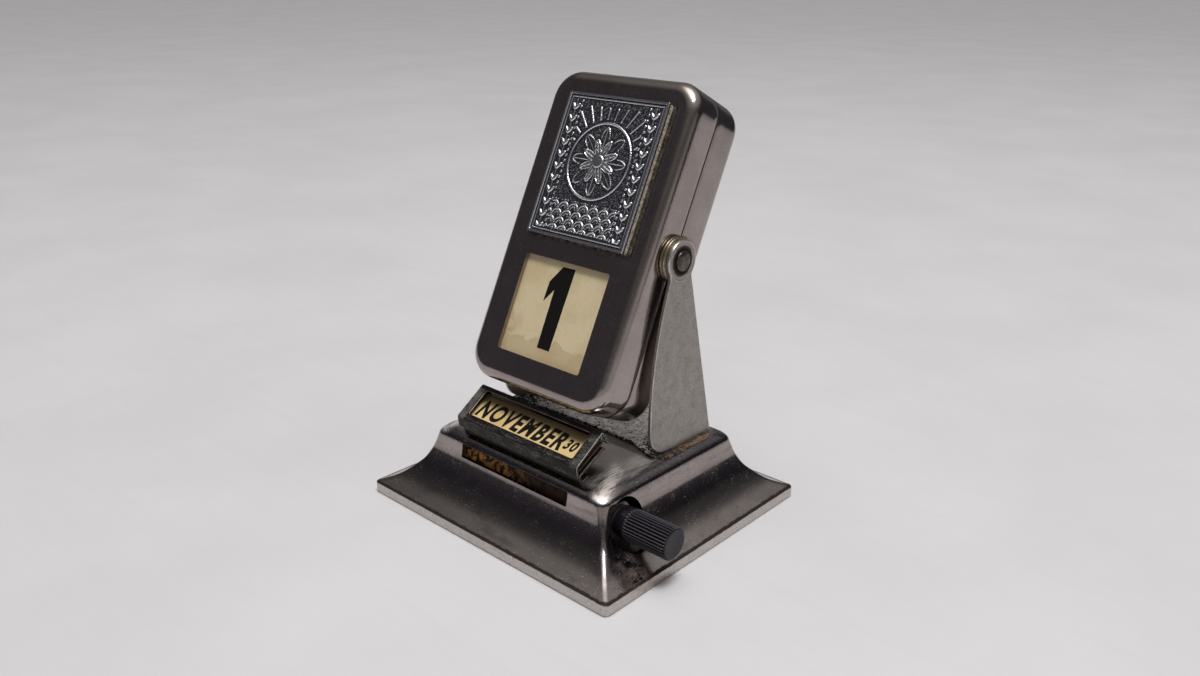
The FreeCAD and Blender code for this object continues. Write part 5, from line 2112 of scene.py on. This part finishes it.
def main() -> None:
    """Build and dress the calendar, then the studio."""
    logging.basicConfig(level=logging.INFO, format="%(name)s %(message)s")
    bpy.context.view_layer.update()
    chrome = Chrome()
    nickel = Metal("side_plate_nickel", (0.40, 0.37, 0.34, 1), (0.23, 0.208, 0.188, 1), rough=0.34, cloud=2.8,
                   rust=(0.028, 0.018, 0.012, 1), clouds=(0.20, 1.0), pits=0.30, pit_size=0.45,
                   rusting=(0.76, 0.86), grain=(1, 1, 0.3), ring=True).make()
    bare = Metal("worn_edge", (0.62, 0.59, 0.55, 1), (0.36, 0.33, 0.30, 1), rough=0.24, cloud=2.0).make()
    green_edge = HoodFinish("rubbed_edge", worn=(0.55, 0.51, 0.46, 1), rubbed=0.22).make()
    steel = Metal("plain_steel", (0.42, 0.41, 0.40, 1), (0.22, 0.20, 0.18, 1), rough=0.36).make()
    lacquered = Metal("lacquered_steel", (0.10, 0.095, 0.09, 1), (0.045, 0.04, 0.035, 1), metal=0.3,
                      rough=0.45).make()
    tarnished = HoodFinish().make()
    rusty = Metal("rusty_sheet", (0.085, 0.083, 0.072, 1), (0.026, 0.023, 0.019, 1), rough=0.36, metal=0.8,
                  cloud=1.4, rusting=(0.58, 0.72), rust=(0.10, 0.048, 0.02, 1)).make()
    brass = Metal("brass_washer", (0.42, 0.365, 0.275, 1), (0.17, 0.14, 0.095, 1), rough=0.24, cloud=1.5,
                  pits=0.10).make()
    pin = Metal("dark_pin", (0.16, 0.135, 0.12, 1), (0.05, 0.038, 0.030, 1), rough=0.26, cloud=1.6,
                clouds=(0.36, 0.62), pits=0.2, pit_size=0.6).make()
    flutes = WeekdayRoller.knob[1] + WeekdayRoller.collar
    black = PlasticFinish("black_plastic", (0.007, 0.006, 0.009, 1), (0.03, 0.03, 0.034, 1), 0.24, 0.001, 0.06, 0.28,
                          (*ROLLER_AXIS, WeekdayRoller.knob[0], flutes - 0.1, flutes + 0.5)).make()
    inner = PlasticFinish("cage_plastic", paint(52, 49, 45), paint(92, 88, 80), 0.5).make()
    date_stock = CardFinish("date_card_plastic", paint(209, 195, 160), paint(188, 166, 124),
                            paint(128, 92, 50), 0.42, True).make(date_dirt)
    month_stock = CardFinish("month_card_board", paint(228, 200, 143), paint(196, 162, 102),
                             paint(58, 36, 20), 0.6).make(month_dirt_and_shade)
    ink = InkFinish().make()

    base = Base()
    base.shell(chrome.for_base())
    base.top_plate(TopPlateFinish().make())
    base.side_plates(nickel, bare, PlasticFinish("eye_dirt", (0.012, 0.009, 0.007, 1), (0.04, 0.03, 0.024, 1), 0.6,
                                               gloss=0.1).make())
    base.bottom(lacquered, FeltFinish().make())
    for node in ("bottom_posts", "base_fasteners", "roller_cradle", "roller_shaft", "shaft_rings", "card_divider"):
        dress(node, steel)

    holder = MonthHolder()
    holder.hood(tarnished, green_edge)
    holder.seat(rusty, green_edge)
    holder.cards(month_stock, ink)

    roller = WeekdayRoller()
    roller.drum(RollerFinish().make())
    roller.cap(black)

    head = DateHead()
    plating = chrome.for_head()
    head.half_shell("front_half_shell", -1, "front_shell", plating)
    head.half_shell("rear_half_shell", 1, "rear_shell", plating)
    head.print_numeral(ink)
    head.pins(pin, brass)
    dress("card_cage", inner)
    for node in sorted(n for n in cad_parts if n.startswith("date_card")):
        dress(node, date_stock)

    plaque = Plaque()
    plaque.backing(head, BoardFinish().make())
    plaque.relief(head, ReliefFinish().make())

    Studio().build()


def date_dirt(r: Recipe) -> Socket:
    """Mask of dirt on the date cards, a wavy stain along the lower edge and specks at the right.

    Args:
        r: The recipe.

    Returns:
        The mask.
    """
    height = r.add(r.z, r.drift(13.0, 5.0, 4, 0.55, seed=12))
    wave = r.both(r.step(height, -29.6, -31.4), r.slide(0.24, 0.52, r.step(height, -31.6, -30.2)))
    left = r.both(r.step(r.x, -9.5, -14.5), r.step(r.z, -22, -30), r.patch(0.45, 0.6, 2.0, 4, 0.6, seed=18))
    specks = r.both(r.patch(0.64, 0.70, 0.45, 4, 0.7, seed=13), r.step(r.x, 11.5, 14.0), r.step(r.z, -20, -28))
    return r.most(wave, r.both(left, 0.42), r.both(specks, 0.85))


def month_dirt_and_shade(r: Recipe) -> Socket:
    """Mask of dirt and painted shade on the month cards: painted shade at their ends and along their back edge under
    the hood, and spots of dirt.

    Args:
        r: The recipe.

    Returns:
        The mask.
    """
    # Painted shade: the cards' ends darkened as if deep in the hood
    ends = r.step(r.size(r.x), 20.2, 21.3)
    # Painted shadow of the hood's upper border along the cards' back edge
    upper = r.step(r.add(r.y, r.both(r.noise(4.0, 3, 0.6, seed=15), 1.5)), -19.6, -17.6)
    spots = r.patch(0.60, 0.74, 1.8, 5, 0.7, seed=12)
    return r.most(r.both(ends, 0.95), r.both(upper, 0.8), r.both(spots, 0.3))


if __name__ == "__main__":
    main()
